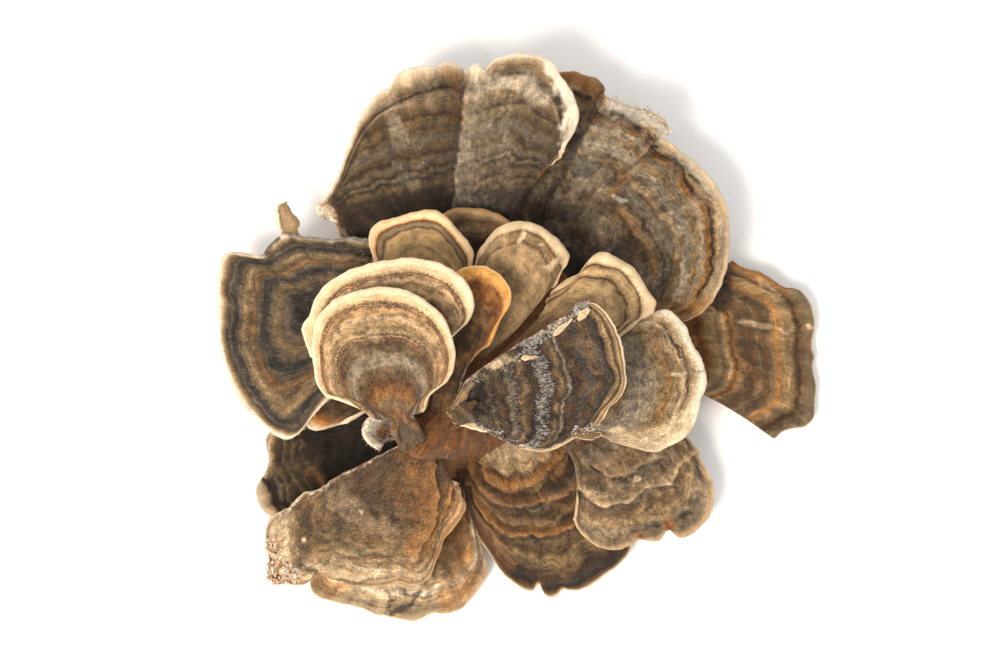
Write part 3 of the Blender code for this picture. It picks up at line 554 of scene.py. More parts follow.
MIDDLE_CAPS = (
    Cap(
        "small_tan_cap", "tan_zoned_skin", root=(-15, -5.5, 16),
        heart=((-27, 12, 25.5), (-17, 11, 25.5)), arch=2,
        crowding="0 0.8, 0.2 0.8, 0.4 1.3, 0.65 1.1, 1 0.7", speckle=0.08, velvet=0.35, streaks=0.25,
        mottle=0.25, lines=0.35, tone=1.75, veil="straw",
        margin="""
        -33 15, -34.2 18, -34.9 20.5, -35.3 22.5, -35.6 24.5, -35 26.2, -33 27.8, -30.5 28.4, -28.5 29,
        -27 29.7, -24.5 30.3, -21.5 30.9, -19 30.5, -17 29.3, -15.6 27.8, -14.3 26, -12.2 23.8, -11 22,
        -10.2 20, -10.4 17.5, -11 15""",
        zones="""
        0 peach, 0.9 peach, 1.5 pale, 1.9 orange, 2.2 umber, 2.7 olive, 3.4 grey, 3.9 umber, 4.4 straw,
        6 straw, 7.6 straw, 8.4 olive, 9.6 straw, 15 olive, 24 olive""",
        marks="""
        dark 2.6 0.3: -25 22, -22 21""",
    ),
    Cap(
        "hidden_tan_cap", "tan_zoned_skin", root=(-7, 2, 13), root_width=9,
        heart=((-15, 13, 17.5), (-4, 12, 17.5)), arch=1.5, streaks=0.4, veil="rust",
        margin="""
        -24 23, -22 27, -20.5 28.6, -18 30.3, -15 31.5, -11.5 31.9, -7.5 31.1, -4 29.8, -1 28, 1 26, 3 22""",
        zones="0 orange, 0.8 tan, 1.8 straw, 3 brown, 5 olive, 7 umber, 26 umber",
    ),
    Cap(
        "upper_tongue", "tan_zoned_skin", root=(-11.5, -5, 19), root_width=6,
        heart=((-9, 5, 25), (1.5, 3, 25)), arch=3, velvet=0.35, streaks=0.6, mottle=0.4, lines=0.3,
        tone=0.82, veil="tan",
        margin="""
        -11 13, -10.6 17, -9.7 20.3, -7.8 23, -6.2 25.3, -4.6 26.4, -2.3 27.3, 0.5 28, 3.6 27.6,
        6.4 26.3, 9 24.4, 10.6 22.7, 12 21.4, 12.9 19.8, 12.4 18.3, 11.2 17, 10.8 15.4, 9.6 14.2, 9 13""",
        zones="""
        0 pale, 1.6 pale, 2 tan, 2.3 plum, 2.8 straw, 4.2 straw, 4.8 brown, 5.3 tan, 8 tan, 12 straw,
        16 tan, 22 straw, 30 olive""",
        marks="""
        pale 0.9 0.9: 0.4 22.6, 1.3 25.2
        pale 0.8 0.9: 8 16.6, 9.8 18
        pale 0.5 1.4: 5.9 22.3, 6 22.3
        pale 2 0.4: -7 22, -3 25
        raise 1.1 0.5: 0.4 22.6, 1.3 25.2
        raise 1.1 0.5: 8 16.6, 9.8 18""",
    ),
    Cap(
        "lower_tongue", "tan_zoned_skin", root=(-5, -7.6, 20.3), root_width=6,
        heart=((5, 3, 22.5), (10, -5, 23.5)), arch=3, velvet=0.35, streaks=0.5, mottle=0.4, lines=0.4,
        tone=1.2, veil="tan",
        margin="""
        9 11.5, 10.5 13.6, 12.5 14.8, 14.2 15.3, 15.6 16.8, 16.6 18.3, 17.8 19.7, 19.5 20.8, 21.4 21,
        23 20.2, 25.5 18.6, 27.9 17, 29.4 15, 30.7 13, 32 10.9, 33.4 9.1, 33.6 8, 32.9 5.9, 31.3 4.9,
        29.8 4.6, 28.5 2.8, 26 1, 23 -1.5, 17 -5""",
        zones="""
        0 pale, 1.9 pale, 2.3 tan, 2.6 black, 3.1 straw, 4.2 tan, 5 straw, 5.5 black, 6 straw, 8 tan,
        12 straw, 17 olive, 26 rust""",
    ),
    Cap(
        "amber_cap", "cream_zoned_skin", root=(-18.5, -25.5, 23.5), root_width=7,
        heart=((-18.5, -5, 31), (-13.6, -6, 30)), arch=1.5, rimmed_sides=(False, True),
        torn_sides=(False, True), streaks=0.5, veil="orange", hair_colour="peach", hair_shade="rust",
        margin="""
        -16.8 10, -16 13, -15 15.2, -13 16.6, -10.5 17.1, -7.5 17, -5.6 16.2, -3.8 14.7, -2.3 12.7,
        -1.5 10.5, -1.5 8.5, -2 6.8, -3.4 5, -4.4 3, -5 1, -5.6 -0.5, -6.5 -2""",
        # the amber stops at the rim are partly painted glow of light coming through the thin rim
        zones="""
        0 peach, 0.4 amber, 1.5 amber, 2.2 orange, 3 rust, 6 rust, 8 brown, 10.5 brown, 11.4 umber,
        12.4 brown, 16 umber, 20 brown, 24 umber, 29 brown, 34 umber, 44 brown""",
        tufts="""
        1 6 0.9 0.2: -15.6 -18, -15.4 -22, -16.2 -27""",
    ),
)

TOP_CAPS = (
    Cap(
        "grey_fan", "grey_zoned_skin", root=(-8, -13.9, 16.5), root_width=6,
        heart=((13, -8, 19.5), (12, -19, 19.5)), arch=3.5, rimmed_sides=(False, True), velvet=0.9,
        streaks=0.5, mottle=0.6, tone=0.8, veil="silver",
        margin="""
        21 0, 24 2, 27 3.2, 28.2 4.6, 29.4 4.3, 31.5 5.5, 33.5 6.8, 35.8 7.3, 38 6.7, 39.8 4.6, 41.2 2.6,
        42.2 0.2, 43 -2.2, 44.4 -3.7, 45.3 -5.8, 46 -8.5, 46.2 -10.5, 45.7 -12.5, 44.8 -15, 44.3 -18,
        43.4 -21, 41.4 -24, 39.8 -25.3, 37 -26.6, 34 -27.9, 31.5 -27.7, 28 -26.8, 25 -26, 22.5 -25.3""",
        zones="""
        0 cream, 1.2 cream, 2.2 pale, 3.2 tan, 3.8 brown, 4.3 pale, 5.2 tan, 6 tan, 6.8 straw, 7.6 honey,
        8.2 straw, 9.4 straw, 11.4 silver, 15 silver, 18 straw, 22 olive, 30 brown, 44 umber""",
        marks="""
        pale 0.7 1: 37.6 -8.8, 39.8 -9
        dark 0.4 0.7: 40.6 -7.6, 45 -7.8
        step 4 0.6: 36 -9, 46 -8.4
        pale 1.6 0.6: 28 2.6, 31 3.8, 34.5 5.4
        pale 3.2 0.85: 24 -24, 30 -25.6, 36 -25, 41 -21
        dark 0.5 0.9: 35.6 2.6, 37.8 -1.4, 39.6 -4""",
        hairs="8 22 1.6 0.45 0.7 0.05",
    ),
    Cap(
        "dark_wedge_cap", "grey_zoned_skin", root=(-10.5, -16.5, 23), root_width=6,
        heart=((-20, -13.5, 34.5), (-17.5, -17, 34)), arch=1.5, thickness=(3, 1.4),
        sink="0 0 1.5, 0.5 0 1.5, 0.62 3 1.2, 0.75 7 1, 0.9 12 0.8, 1 16 0.8", torn_sides=(True, True),
        velvet=1, streaks=0.5, patches=0.5, tone=0.96, veil="olive", lip="cream", hair_colour="rime",
        hair_shade="silver",
        margin="""
        15.3 8, 16.7 8.7, 18.3 8.5, 19.8 7.6, 21 6.3, 22 4.5, 22.9 3.2, 23.6 1.4, 24.4 0, 24.7 -2,
        25.3 -5, 25.9 -8, 26 -10.8, 25.2 -13.3, 23.6 -15.2, 21.5 -16.8, 20.9 -18.6, 19.6 -20.6,
        17.2 -22.2, 14.6 -22.8, 13.3 -24.4, 10.5 -26, 7 -27.2, 3.5 -27, 0.5 -26.4""",
        zones="""
        0 cream, 0.35 peach, 0.6 umber, 0.95 tan, 1.35 olive, 1.75 black, 2.3 straw, 2.9 olive,
        3.3 black, 4.4 slate, 6 brown, 8 slate, 10 umber, 11.4 black, 12 silver, 12.4 black, 13.4 olive,
        14.4 umber, 15.2 black, 16 slate, 17 grey, 18 slate, 18.5 black, 19.6 umber, 21 olive,
        22.2 umber, 23 slate, 24.2 grey, 25 black, 26.4 brown, 27.6 slate, 28.6 olive, 29.4 black,
        30.6 black, 32.4 slate, 34.4 grey, 36 slate, 41 black""",
        marks="""
        torn 1.3 1: 4 0.4, 9 3.2, 15 7
        pale 1 0.7: -6 -6.4, -2 -4.8
        dark 2.4 0.8: -9 -14, -14 -17
        step 3 1: -4 -20, -6 -14, -4 -9
        step 2 1: -9 -20, -10 -15, -8 -11
        raise 2.4 0.8: 10 -20, 4 -22, 0 -23
        dark 1 0.7: 16 -15, 11 -18, 4 -19.6
        pale 0.8 1: 13.2 -24.2, 10.5 -25.8, 7 -27, 3.5 -26.8, 0.8 -26
        warm 1 0.8: 13.6 -23, 17 -22.6, 20.4 -20""",
        hairs="15.4 18.6 6 1.2 0.5 0.1, 22.4 24.8 3.5 0.9 0.6, 4 34 1 0.45 0.7 0.05",
        tufts="""
        0.7 5 0.9 0.18: -14 -16, -11 -11, 0 -4.5
        0.8 6 1 0.2: 0 -4.5, 9.5 2, 16.5 8
        0.6 5 0.8 0.16: -13 -20, -3 -22.6
        0.8 6 0.9 0.25: 13.4 -22.6, 19 -21.4""",
        flaps="""
        0 0.8 2.3 0.9: 14.4 4.4 38.8, 15.7 5.5 39.1, 17 7 39.2
        0 1.2 1.4 0.4: -0.6 -4.8 36.6, 2.4 -4.6 37.4, 5.2 -4.4 37.3
        0 0.8 1.6 0.9 0.5: 8.6 0.8 38, 10.2 2.2 38.6, 11.8 3.2 38.7, 13 4.6 38.8
        0.4 2.4 2 1: -14.8 -17.6 34.4, -12.8 -13.6 35.8, -10.4 -10.4 36.2
        26 3 3.4 1: -15.4 -18.2 34, -12.6 -16.6 36, -9.4 -15 36.2
        26.6 2.4 3 1: -14.6 -19.4 34, -11.4 -18.6 35.6, -8 -17.6 35.8
        0 1 1.6 0.8: -13.4 -20.4 33.8, -9.4 -21 34.6, -4 -22.6 34.8
        0.3 1.6 2.6 1: 13 -22.6 35.2, 16.6 -23.2 35.6, 20 -22.6 35.2""",
    ),
    Cap(
        "back_cream_cap", "cream_zoned_skin", root=(-23, -20, 24.5), root_width=6,
        heart=((-34, -9.5, 37), (-25.5, -9, 37)), arch=2, rimmed_sides=(True, True), waves=0.5,
        wobble=0.3, speckle=0.45, velvet=0.45, streaks=0.3, mottle=0.35, tone=1.12, veil="tan",
        margin="""
        -48.3 -4.5, -49.3 -2.5, -49.9 0, -50.6 2.2, -49.6 4.2, -48.6 5, -48.2 7, -47.2 9.5, -45.6 11.7,
        -43.5 13.4, -41.3 14.7, -38 16.3, -35 17.2, -31 18.1, -27.5 18.6, -24 18.6, -20 18, -17.3 17.1,
        -14.8 15.8, -12.6 13.9, -11 11.5, -10 9, -10.1 6.4, -11 4.5, -11.8 3.5""",
        zones="""
        0 ivory, 1 ivory, 1.6 peach, 2.2 pale, 2.8 tan, 3.1 plum, 3.5 biscuit, 3.8 plum, 4.1 pale,
        5.2 biscuit, 6 tan, 7 tan, 8 straw, 8.8 plum, 9.6 straw, 12 brown, 20 rust, 32 umber""",
    ),
    Cap(
        "front_cream_cap", "cream_zoned_skin", root=(-24.5, -26, 28.5), root_width=7,
        heart=((-31.3, -17.6, 44.5), (-26, -17.2, 44.5)), arch=2, waist=(0.3, 0.5),
        crowding="0 1.5, 0.2 1.45, 0.4 1.05, 0.55 1, 0.75 1.15, 1 1.3", rimmed_sides=(True, True),
        waves=0.4, wobble=0.3, speckle=0.45, velvet=0.6, streaks=0.25, mottle=0.55, patches=0.15,
        tone=0.95, veil="tan",
        margin="""
        -44.8 -13.6, -46.4 -11.5, -47.2 -8.5, -47.5 -5, -47.7 -2, -47.5 1, -46.9 3.5, -45.8 5.8, -44 7.9,
        -41.7 9.4, -38.5 10.7, -35 11.6, -31.5 11.9, -28 11.6, -25 10.7, -22 9.3, -19.5 7.4, -17.5 5.3,
        -16 2.8, -15.1 0.2, -14.5 -2.5, -14.3 -5, -14.8 -7.7, -16 -10, -17 -11""",
        zones="""
        0 ivory, 1 ivory, 1.7 peach, 2.4 peach, 2.9 biscuit, 3.3 plum, 3.6 tan, 3.9 plum, 4.2 biscuit,
        5.4 biscuit, 6.2 pale, 6.8 biscuit, 7.4 tan, 8.2 straw, 9 tan, 9.35 tan, 9.5 plum, 9.75 plum,
        9.95 tan, 10.1 tan, 10.3 plum, 10.6 plum, 10.75 straw, 11 brown, 11.8 brown, 13 olive,
        14.6 silver, 15.4 silver, 17 olive, 19 brown, 21 rust, 23 honey, 25.5 straw, 28 rust, 32 brown,
        36 olive, 40 brown""",
        marks="""
        warm 3.4 0.3: -30.5 -9, -28 -12
        dark 2.6 0.4: -27 -10, -27.5 -14
        pale 1.4 0.5: -34.5 0.5, -33 -0.5
        pale 2 0.3: -38 -3, -33 -5, -27 -5
        warm 3 0.4: -18.5 -8, -17 -4
        warm 2.6 0.3: -41 -10, -37 -14""",
        hairs="13 20 1.6 0.4 0.7 0.05",
    ),
    Cap(
        "torn_curl", "grey_zoned_skin", root=(-26.2, -22.8, 26), root_width=4,
        heart=((-30.5, -20.5, 31), (-31.5, -23.8, 30.3)), arch=-1.5, thickness=(2, 1),
        torn_sides=(True, True), velvet=1, veil="rust", hair_colour="silver", hair_shade="cream",
        margin="""
        -31.8 -18.9, -33 -18.4, -34.5 -18.6, -35.8 -19.5, -36.6 -20.8, -36.8 -22.2, -36.4 -23.4,
        -35.5 -24.6, -34.3 -25.5, -33 -26.2, -32 -26.6""",
        zones="0 cream, 1.2 frost, 2.2 silver, 3.2 brown, 4 rust, 6 umber, 12 brown",
        hairs="0 2.2 12 0.8 0.8 0.1",
    ),
)

ALL_CAPS = LARGE_FANS + LEFT_CAPS + LOWER_CAPS + MIDDLE_CAPS + TOP_CAPS

HEART_PULL = 1.6  # how closely a cap passes over its heart line on its way out
CORNER_RUN = 0.7  # how far the margin's corners are rounded, mm
HEIGHT_RUN = 2  # how far the margin's height is evened out, mm
ZONE_RUN = 3  # how far the margin is evened out for the zones, mm
NOTCH_RUN = 4  # how far the margin's notches are at least evened out for the rows further in, mm
LEVEL_DEPTH = 8  # from this depth inwards, depth is counted as a share of each column's length, mm
FRILL_DEPTH = 1.4  # how far in the frill of the margin dies away, mm
FOLD_DEPTH = 16  # how far in the radial folds die away, mm
CROWD_REACH = 7  # how deep the zones go on drawing together along a side, mm
COLUMN_STEP = 0.6  # between columns along the margin, mm
ROW_STEPS = ((5, 0.28), (32, 0.42), (45, 0.7), (90, 1.3))  # row spacing up to each depth, mm
SIDE_COLUMNS = (0, 0.12, 0.3, 0.55, 0.9)  # where the columns beside a side edge stand, mm in at the margin
RIM_ROWS = 5  # rows that round the rim
RIM_WRAP = 1.2  # how far in the rim keeps its width where it runs down a side, mm
RIM_REACH = 9  # how far down a side the rim runs before it fades, mm
CORNER_POWER = 2.5  # how sharply the zones turn where the margin meets a side
RAMP_STOPS = 30  # stops in one colour ramp
WAIST_RUN = 0.09  # share of the way out over which a neck narrows
HEAD_ROOM = 0.08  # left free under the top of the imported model's box, mm
SOFT_TOP = 1.6  # how far below that a cap starts to flatten, mm
EDGE_BAND = 2.5  # a hair band that ends before this depth follows every edge, not only the margin, mm
BASE_CENTRE = (-10, -9)  # the middle of the base, from which its sides swell outwards, mm
KEY_PLACE = (-0.3, -0.26, 0.68)  # where the key light stands, m
KEY_TARGET = (0, 0, 0.02)  # what it looks at, m
KEY_SIZE = 0.32  # its side, m
CAMERA_SPOT = (-0.004, 0.001125)  # the point of the rosette under the camera, m
LENS, SENSOR = 100, 36  # the camera's focal length and sensor width, mm


# ------------------------------------------------------------------ shape


def lerp(start, end, share):
    """The value at this share of the way from start to end."""
    return start + (end - start) * share


def ease(share):
    """0 to 1, leaving and arriving gently."""
    share = np.clip(share, 0, 1)
    return share * share * (3 - 2 * share)


def unit(vectors, least=0):
    """The vectors at length 1; least keeps a vector without length from failing."""
    return vectors / (np.linalg.norm(vectors, axis=-1, keepdims=True) + least)


LATTICE = np.random.default_rng(5).uniform(-1, 1, (64, 64))


def waver(x, y, seed):
    """Smooth noise from -1 to 1 with one swell per unit of x and y."""
    x = np.asarray(x, float) + seed * 17.31
    y = np.asarray(y, float) + seed * 5.77
    left, low = np.floor(x).astype(int), np.floor(y).astype(int)
    across, up = ease(x - left), ease(y - low)
    size = len(LATTICE)

    def corner(i, j):
        return LATTICE[(left + i) % size, (low + j) % size]

    return lerp(lerp(corner(0, 0), corner(1, 0), across), lerp(corner(0, 1), corner(1, 1), across), up)


def layered(seed, *layers, start=0):
    """Several layers of waver on top of a start, each as its height and its x and y."""
    return sum((height * waver(x, y, seed + k) for k, (height, x, y) in enumerate(layers)), start)


def arc_run(line):
    """How far along the polyline each of its points lies."""
    steps = np.linalg.norm(np.diff(line, axis=0), axis=1)
    return np.concatenate([[0], np.cumsum(steps)])


def at_runs(line, runs):
    """The points of the polyline at these distances along it."""
    own = arc_run(line)
    return np.stack([np.interp(runs, own, line[:, k]) for k in range(line.shape[1])], axis=1)


def softened(line, sigma):
    """An evenly spaced polyline with its corners rounded over sigma points and its ends kept."""
    half = int(3 * sigma) + 1
    kernel = np.exp(-0.5 * (np.arange(-half, half + 1) / sigma) ** 2)
    kernel /= kernel.sum()
    half = min(half, len(line) - 1)
    kernel = kernel[len(kernel) // 2 - half : len(kernel) // 2 + half + 1]
    kernel /= kernel.sum()
    before = 2 * line[0] - line[half:0:-1]
    after = 2 * line[-1] - line[-2 : -half - 2 : -1]
    padded = np.concatenate([before, line, after])
    return np.stack([np.convolve(padded[:, k], kernel, "valid") for k in range(line.shape[1])], axis=1)


def vertices(mesh):
    """The places of a mesh's vertices, in millimetres."""
    places = np.empty(len(mesh.vertices) * 3)
    mesh.vertices.foreach_get("co", places)
    return places.reshape(-1, 3) / MM


def margin_heights(cap, outline):
    """The height of each outline point, from the nearest places of the cap's own solid in the frame."""
    solid = vertices(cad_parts[cap.name].data)
    gaps = ((outline[:, None, :2] - solid[None, :, :2]) ** 2).sum(axis=2)
    weights = 1 / (gaps + 0.5) ** 3
    return (weights * solid[:, 2]).sum(axis=1) / weights.sum(axis=1) + cap.thickness[1] / 2


def line_gaps(places, line):
    """How far each place lies in plan from a slightly wavering polyline, and on which side of it."""
    line = np.array(line, float)
    x, y = places[..., 0], places[..., 1]
    stray = [layered(k, (0.5, x / 2.1, y / 2.1), (0.22, x / 0.7, y / 0.7)) for k in (30, 33)]
    places = np.stack([x, y], axis=-1) + np.stack(stray, axis=-1)
    best = np.full(places.shape[:-1], 1e9)
    side = np.zeros(places.shape[:-1])
    for start, end in zip(line, line[1:]):
        along = end - start
        offset = places - start
        share = np.clip((offset @ along) / (along @ along), 0, 1)
        gap = np.linalg.norm(offset - share[..., None] * along, axis=-1)
        closer = gap < best
        best = np.where(closer, gap, best)
        side = np.where(closer, np.sign(along[0] * offset[..., 1] - along[1] * offset[..., 0]), side)
    return best, side


def mark_strength(mark, places, seed):
    """How strongly a mark shows at each place, with a ragged edge."""
    gap, side = line_gaps(places, mark.points)
    if mark.kind in ("step", "shade", "lip", "shine"):
        return mark.amount * (side > 0) * np.exp(-gap / mark.reach) * ease(gap / 0.6 + 0.2)
    x, y = places[..., 0], places[..., 1]
    ragged = layered(seed, (0.4, x / 2.6, y / 2.6), (0.3, x / 0.9, y / 0.9), start=1)
    return mark.amount * ease(1.35 - gap / (mark.reach * ragged))


def depths_from_margin(rows):
    """How far in from its last row each point of a grid lies, and how long each column is."""
    spans = np.linalg.norm(np.diff(rows, axis=0), axis=2)
    depth = np.concatenate([np.cumsum(spans[::-1], axis=0)[::-1], np.zeros((1, rows.shape[1]))])
    return depth, spans.sum(axis=0)


class Sheet:
    """The surface of one cap on a grid: rows from root to margin, columns from side to side."""

    def __init__(self, cap, seed, skin):
        self.cap, self.seed, self.skin = cap, seed, skin
        runs = np.arange(0, arc_run(cap.margin)[-1], COLUMN_STEP)
        plan = softened(at_runs(cap.margin, runs), CORNER_RUN / COLUMN_STEP)
        line = np.column_stack([plan, margin_heights(cap, plan)])
        line[:, 2] = softened(line[:, 2:], HEIGHT_RUN / COLUMN_STEP)[:, 0]
        length = arc_run(line)[-1]
        ends = np.array(SIDE_COLUMNS)
        inner = np.arange(ends[-1] + COLUMN_STEP, length - ends[-1] - COLUMN_STEP / 2, COLUMN_STEP)
        self.around = np.concatenate([ends, inner, length - ends[::-1]])
        self.margin = at_runs(line, self.around)
        even = softened(line, max(NOTCH_RUN, cap.evening * length) / COLUMN_STEP)
        zone_edge = softened(line, ZONE_RUN / COLUMN_STEP)
        self.even = at_runs(even, self.around / length * arc_run(even)[-1])
        self.zone_edge = at_runs(zone_edge, self.around / length * arc_run(zone_edge)[-1])
        self.shares = self.around / length
        across = self.shares[:, None]
        self.heart = lerp(np.array(cap.heart[0], float), np.array(cap.heart[1], float), across)
        self.root = self.root_line(across)
        self.lay(self.row_shares())
        self.paint()

    def root_line(self, shares):
        """The root, a line set square to the way from the root to the heart."""
        root = np.array(self.cap.root, float)
        along = self.heart.mean(axis=0) - root
        across = unit(np.array([-along[1], along[0], 0]))
        if across @ (self.heart[0] - self.heart[-1]) < 0:
            across = -across
        return root + (0.5 - shares) * across * self.cap.root_width

    def surface(self, out, notched=1):
        """The bare sheet at these shares of the way out, one row of shares per row of points."""
        out = out[..., None]
        weights = (1 - out) ** 2, 2 * HEART_PULL * out * (1 - out), out**2
        outer = lerp(self.even, self.margin, notched * out**3)
        rows = (weights[0] * self.root + weights[1] * self.heart + weights[2] * outer) / sum(weights)
        rows[..., 2] += self.cap.arch * 4 * (out * (1 - out))[..., 0]
        place, amount = self.cap.waist
        if amount:
            pinch = amount * np.exp(-(((out - place) / WAIST_RUN) ** 2))
            rows = rows + (rows.mean(axis=-2, keepdims=True) - rows) * pinch
        return rows

    def row_shares(self):
        """Where the rows lie, as shares of the way out: close together at the rim, wide apart at the root."""
        fine = np.linspace(0, 1, 400)
        rows = self.surface(np.repeat(fine[:, None], len(self.around), axis=1))
        steps = np.linalg.norm(np.diff(rows, axis=0), axis=2).mean(axis=1)
        depth = np.concatenate([np.cumsum(steps[::-1])[::-1], [0]])
        angles = np.linspace(0, math.pi / 2, RIM_ROWS)
        depths = list(self.cap.thickness[1] / 2 * (1 - np.cos(angles)))
        for limit, step in ROW_STEPS:
            while depths[-1] + step < min(limit, depth[0]):
                depths.append(depths[-1] + step)
        return np.array(sorted({0.0, *np.interp(depths, depth[::-1], fine[::-1])}))

    def lay(self, row_shares):
        """The grid's top and underside, and how far each place lies from the margin and the sides."""
        cap, seed = self.cap, self.seed
        out = np.repeat(row_shares[:, None], len(self.around), axis=1)
        rows = self.surface(out)
        depth, reach = depths_from_margin(rows)
        depth = lerp(depth, depth / reach * reach.mean(), ease(depth / LEVEL_DEPTH))
        widths = np.linalg.norm(np.diff(rows, axis=1), axis=2)
        from_start = np.concatenate([np.zeros((len(rows), 1)), np.cumsum(widths, axis=1)], axis=1)
        self.around = np.broadcast_to(self.around, depth.shape)
        self.depth, self.sides = depth, (from_start, from_start[:, -1:] - from_start)
        self.zone_depth = self.place_zones(out, rows, reach)
        normals = sheet_normals(rows)
        outwards = unit(np.gradient(rows, axis=0))
        half = lerp(*cap.thickness, out) / 2
        edge = np.minimum(depth, np.minimum(*self.sides))
        rounding = np.sqrt(1 - (1 - np.clip(edge / half, 0, 1)) ** 2)
        frill = layered(seed + 5, (0.7, self.around / 2.6, 0), (0.45, self.around / 0.9, 0))
        push = self.skin.frill / MM * frill * np.exp(-depth / FRILL_DEPTH)
        relief = self.relief()
        lip = np.zeros_like(out)
        for k, mark in enumerate(cap.marks):
            if mark.kind in ("raise", "step"):
                relief = relief + mark_strength(mark, rows, seed + 40 + k)
            # lip marks, the pale lips of ledges that are partly painted light, go to the lip channel
            if mark.kind == "lip":
                lip = np.maximum(lip, mark_strength(mark, rows, seed + 40 + k))
        rows = rows + outwards * push[..., None] + normals * relief[..., None]
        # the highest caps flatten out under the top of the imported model's box
        ceiling = CAD_BOX[1][2] / MM - HEAD_ROOM
        over = np.maximum(rows[..., 2] - ceiling + SOFT_TOP, 0)
        rows[..., 2] -= over - SOFT_TOP * (1 - np.exp(-over / SOFT_TOP))
        self.top = rows - normals * (half * (1 - rounding))[..., None]
        self.under = rows - normals * (half * (1 + rounding))[..., None]
        self.lip, self.edge, self.normals, self.outwards = lip, edge, normals, outwards

    def place_zones(self, out, rows, reach):
        """The depth that each place has in the zones, which run evener than the margin and crowd or jump."""
        cap, seed = self.cap, self.seed
        notch = ((self.zone_edge - self.margin) * unit(rows[-1] - rows[-4])).sum(axis=1)
        even_depth, even_reach = depths_from_margin(self.surface(out, 0))
        even_depth = even_depth * (reach.mean() / even_reach)
        # near the rim the zones follow the margin without its notches, further in the evened margin
        depth = self.depth + notch * ease(self.depth / 4)
        depth = lerp(depth, even_depth, ease((self.depth - 4) / 10))
        # along some stretches they lie closer together, and behind some rims they jump
        crowd = np.interp(self.shares, *cap.crowding.T)
        drawn = CROWD_REACH * (1 - np.exp(-np.maximum(depth - 0.6, 0) / CROWD_REACH))
        depth = depth + (crowd - 1) * drawn
        places, jumps, starts = cap.sink.T
        jump, start = (np.interp(self.shares, places, values) for values in (jumps, starts))
        depth = depth + jump * ease((depth - start) / 2.4)
        # a rimmed side keeps the rim for a while, and along a wrapped side all zones turn back
        for rimmed, wraps, gap in zip(cap.rimmed_sides, cap.wrapped_sides, self.sides):
            if rimmed:
                fading = 1.1 * np.maximum(self.depth - RIM_REACH, 0)
                depth = np.minimum(depth, gap + 8 * np.maximum(gap - RIM_WRAP, 0) ** 2 + fading)
            if wraps:
                near, across = np.maximum(depth, 0.01), np.maximum(gap, 0.01)
                depth = (near**-CORNER_POWER + across**-CORNER_POWER) ** (-1 / CORNER_POWER)
        wander = layered(
            seed + 1, (1, self.around / 7, self.depth / 30), (0.5, self.around / 2.3, self.depth / 9)
        )
        return np.maximum(depth + cap.wobble * ease(depth / 3) * wander, 0)

    def relief(self):
        """Ridges, waves and grain, in millimetres above the bare sheet."""
        cap, seed, around, depth, zone_depth = self.cap, self.seed, self.around, self.depth, self.zone_depth
        ridge, wave = self.skin.ridge / MM * cap.ridges, self.skin.wave / MM * cap.waves
        near = np.exp(-depth / FOLD_DEPTH)
        stops = np.array([stop for stop, _ in cap.zones])
        light = np.array([zone_light(colour) for _, colour in cap.zones])
        band = np.interp(zone_depth, stops, light) - np.interp(zone_depth, stops, smooth_light(stops, light))
        shape = layered(
            seed + 7,
            (ridge * 0.6, around / 40, zone_depth / 1.5),  # narrow ridges
            (ridge * 0.9, around / 30, zone_depth / 4),  # wide ridges
            (wave * (0.3 + 0.9 * near), around / 8, depth / 30),  # radial folds, deepest near the rim
            (wave * 0.35 * near, around / 3, depth / 14),  # crimps of the rim
            (0.05, around / 0.7, depth / 3.5),  # fibres
            (0.05, around / 1.3, depth / 1.3),  # grain
            start=ridge * 1.6 * band,
        )
        lip = 0.22 * np.exp(-((zone_depth - 0.9) ** 2)) - 0.16 * np.exp(-((zone_depth - 2.4) ** 2) / 0.3)
        torn = np.zeros_like(depth)
        for is_torn, gap in zip(cap.torn_sides, self.sides):
            if is_torn:
                torn = torn + 0.45 * np.exp(-gap / 0.9) * waver(depth / 0.8, gap / 0.8, seed + 13)
        return (shape + lip) * ease(depth / 1.2 + 0.25) + torn

    def paint(self):
        """How pale, dark, torn and warm each point is, on top of its zone; pale also holds painted light and
        dark painted shade.
        """
        cap, seed = self.cap, self.seed
        kinds = {kind: np.zeros_like(self.depth) for kind in ("pale", "dark", "torn", "warm")}
        for k, mark in enumerate(cap.marks):
            # shine marks add painted light to pale, and shade marks add painted shade to dark
            kind = {"shade": "dark", "shine": "pale"}.get(mark.kind, mark.kind)
            if kind in kinds:
                kinds[kind] = np.maximum(kinds[kind], mark_strength(mark, self.top, seed + 20 + k))
        for is_torn, gap in zip(cap.torn_sides, self.sides):
            if is_torn:
                ragged = cap.torn_width * (1 + 0.6 * waver(self.depth / 1.6, 0, seed + 14))
                kinds["torn"] = np.maximum(kinds["torn"], ease(1.4 - gap / ragged))
        self.marks = np.stack(list(kinds.values()), axis=-1)


def zone_light(colour):
    """How light a zone colour is, from 0 to 1."""
    return sum(getattr(bpy.context.scene.fungus_palette, colour)) / 3


def smooth_light(stops, light):
    """The lightness around each stop, averaged over the neighbouring zones."""
    weights = np.exp(-np.abs(stops[:, None] - stops[None, :]) / 2.5)
    return (weights * light).sum(axis=1) / weights.sum(axis=1)


def sheet_normals(rows):
    """Unit normals of a grid of points, all turned upwards."""
    quads = np.cross(rows[1:, 1:] - rows[:-1, :-1], rows[1:, :-1] - rows[:-1, 1:])
    normals = np.zeros_like(rows)
    for corner in (normals[:-1, :-1], normals[:-1, 1:], normals[1:, :-1], normals[1:, 1:]):
        corner += quads
    normals = unit(normals)
    return normals * np.where(normals[..., 2].mean() < 0, -1, 1)


# ------------------------------------------------------------------ mesh


def quads_between(grid):
    """The four corners of every cell of a grid of vertex numbers."""
    return np.stack([grid[:-1, :-1], grid[:-1, 1:], grid[1:, 1:], grid[1:, :-1]], axis=-1).reshape(-1, 4)


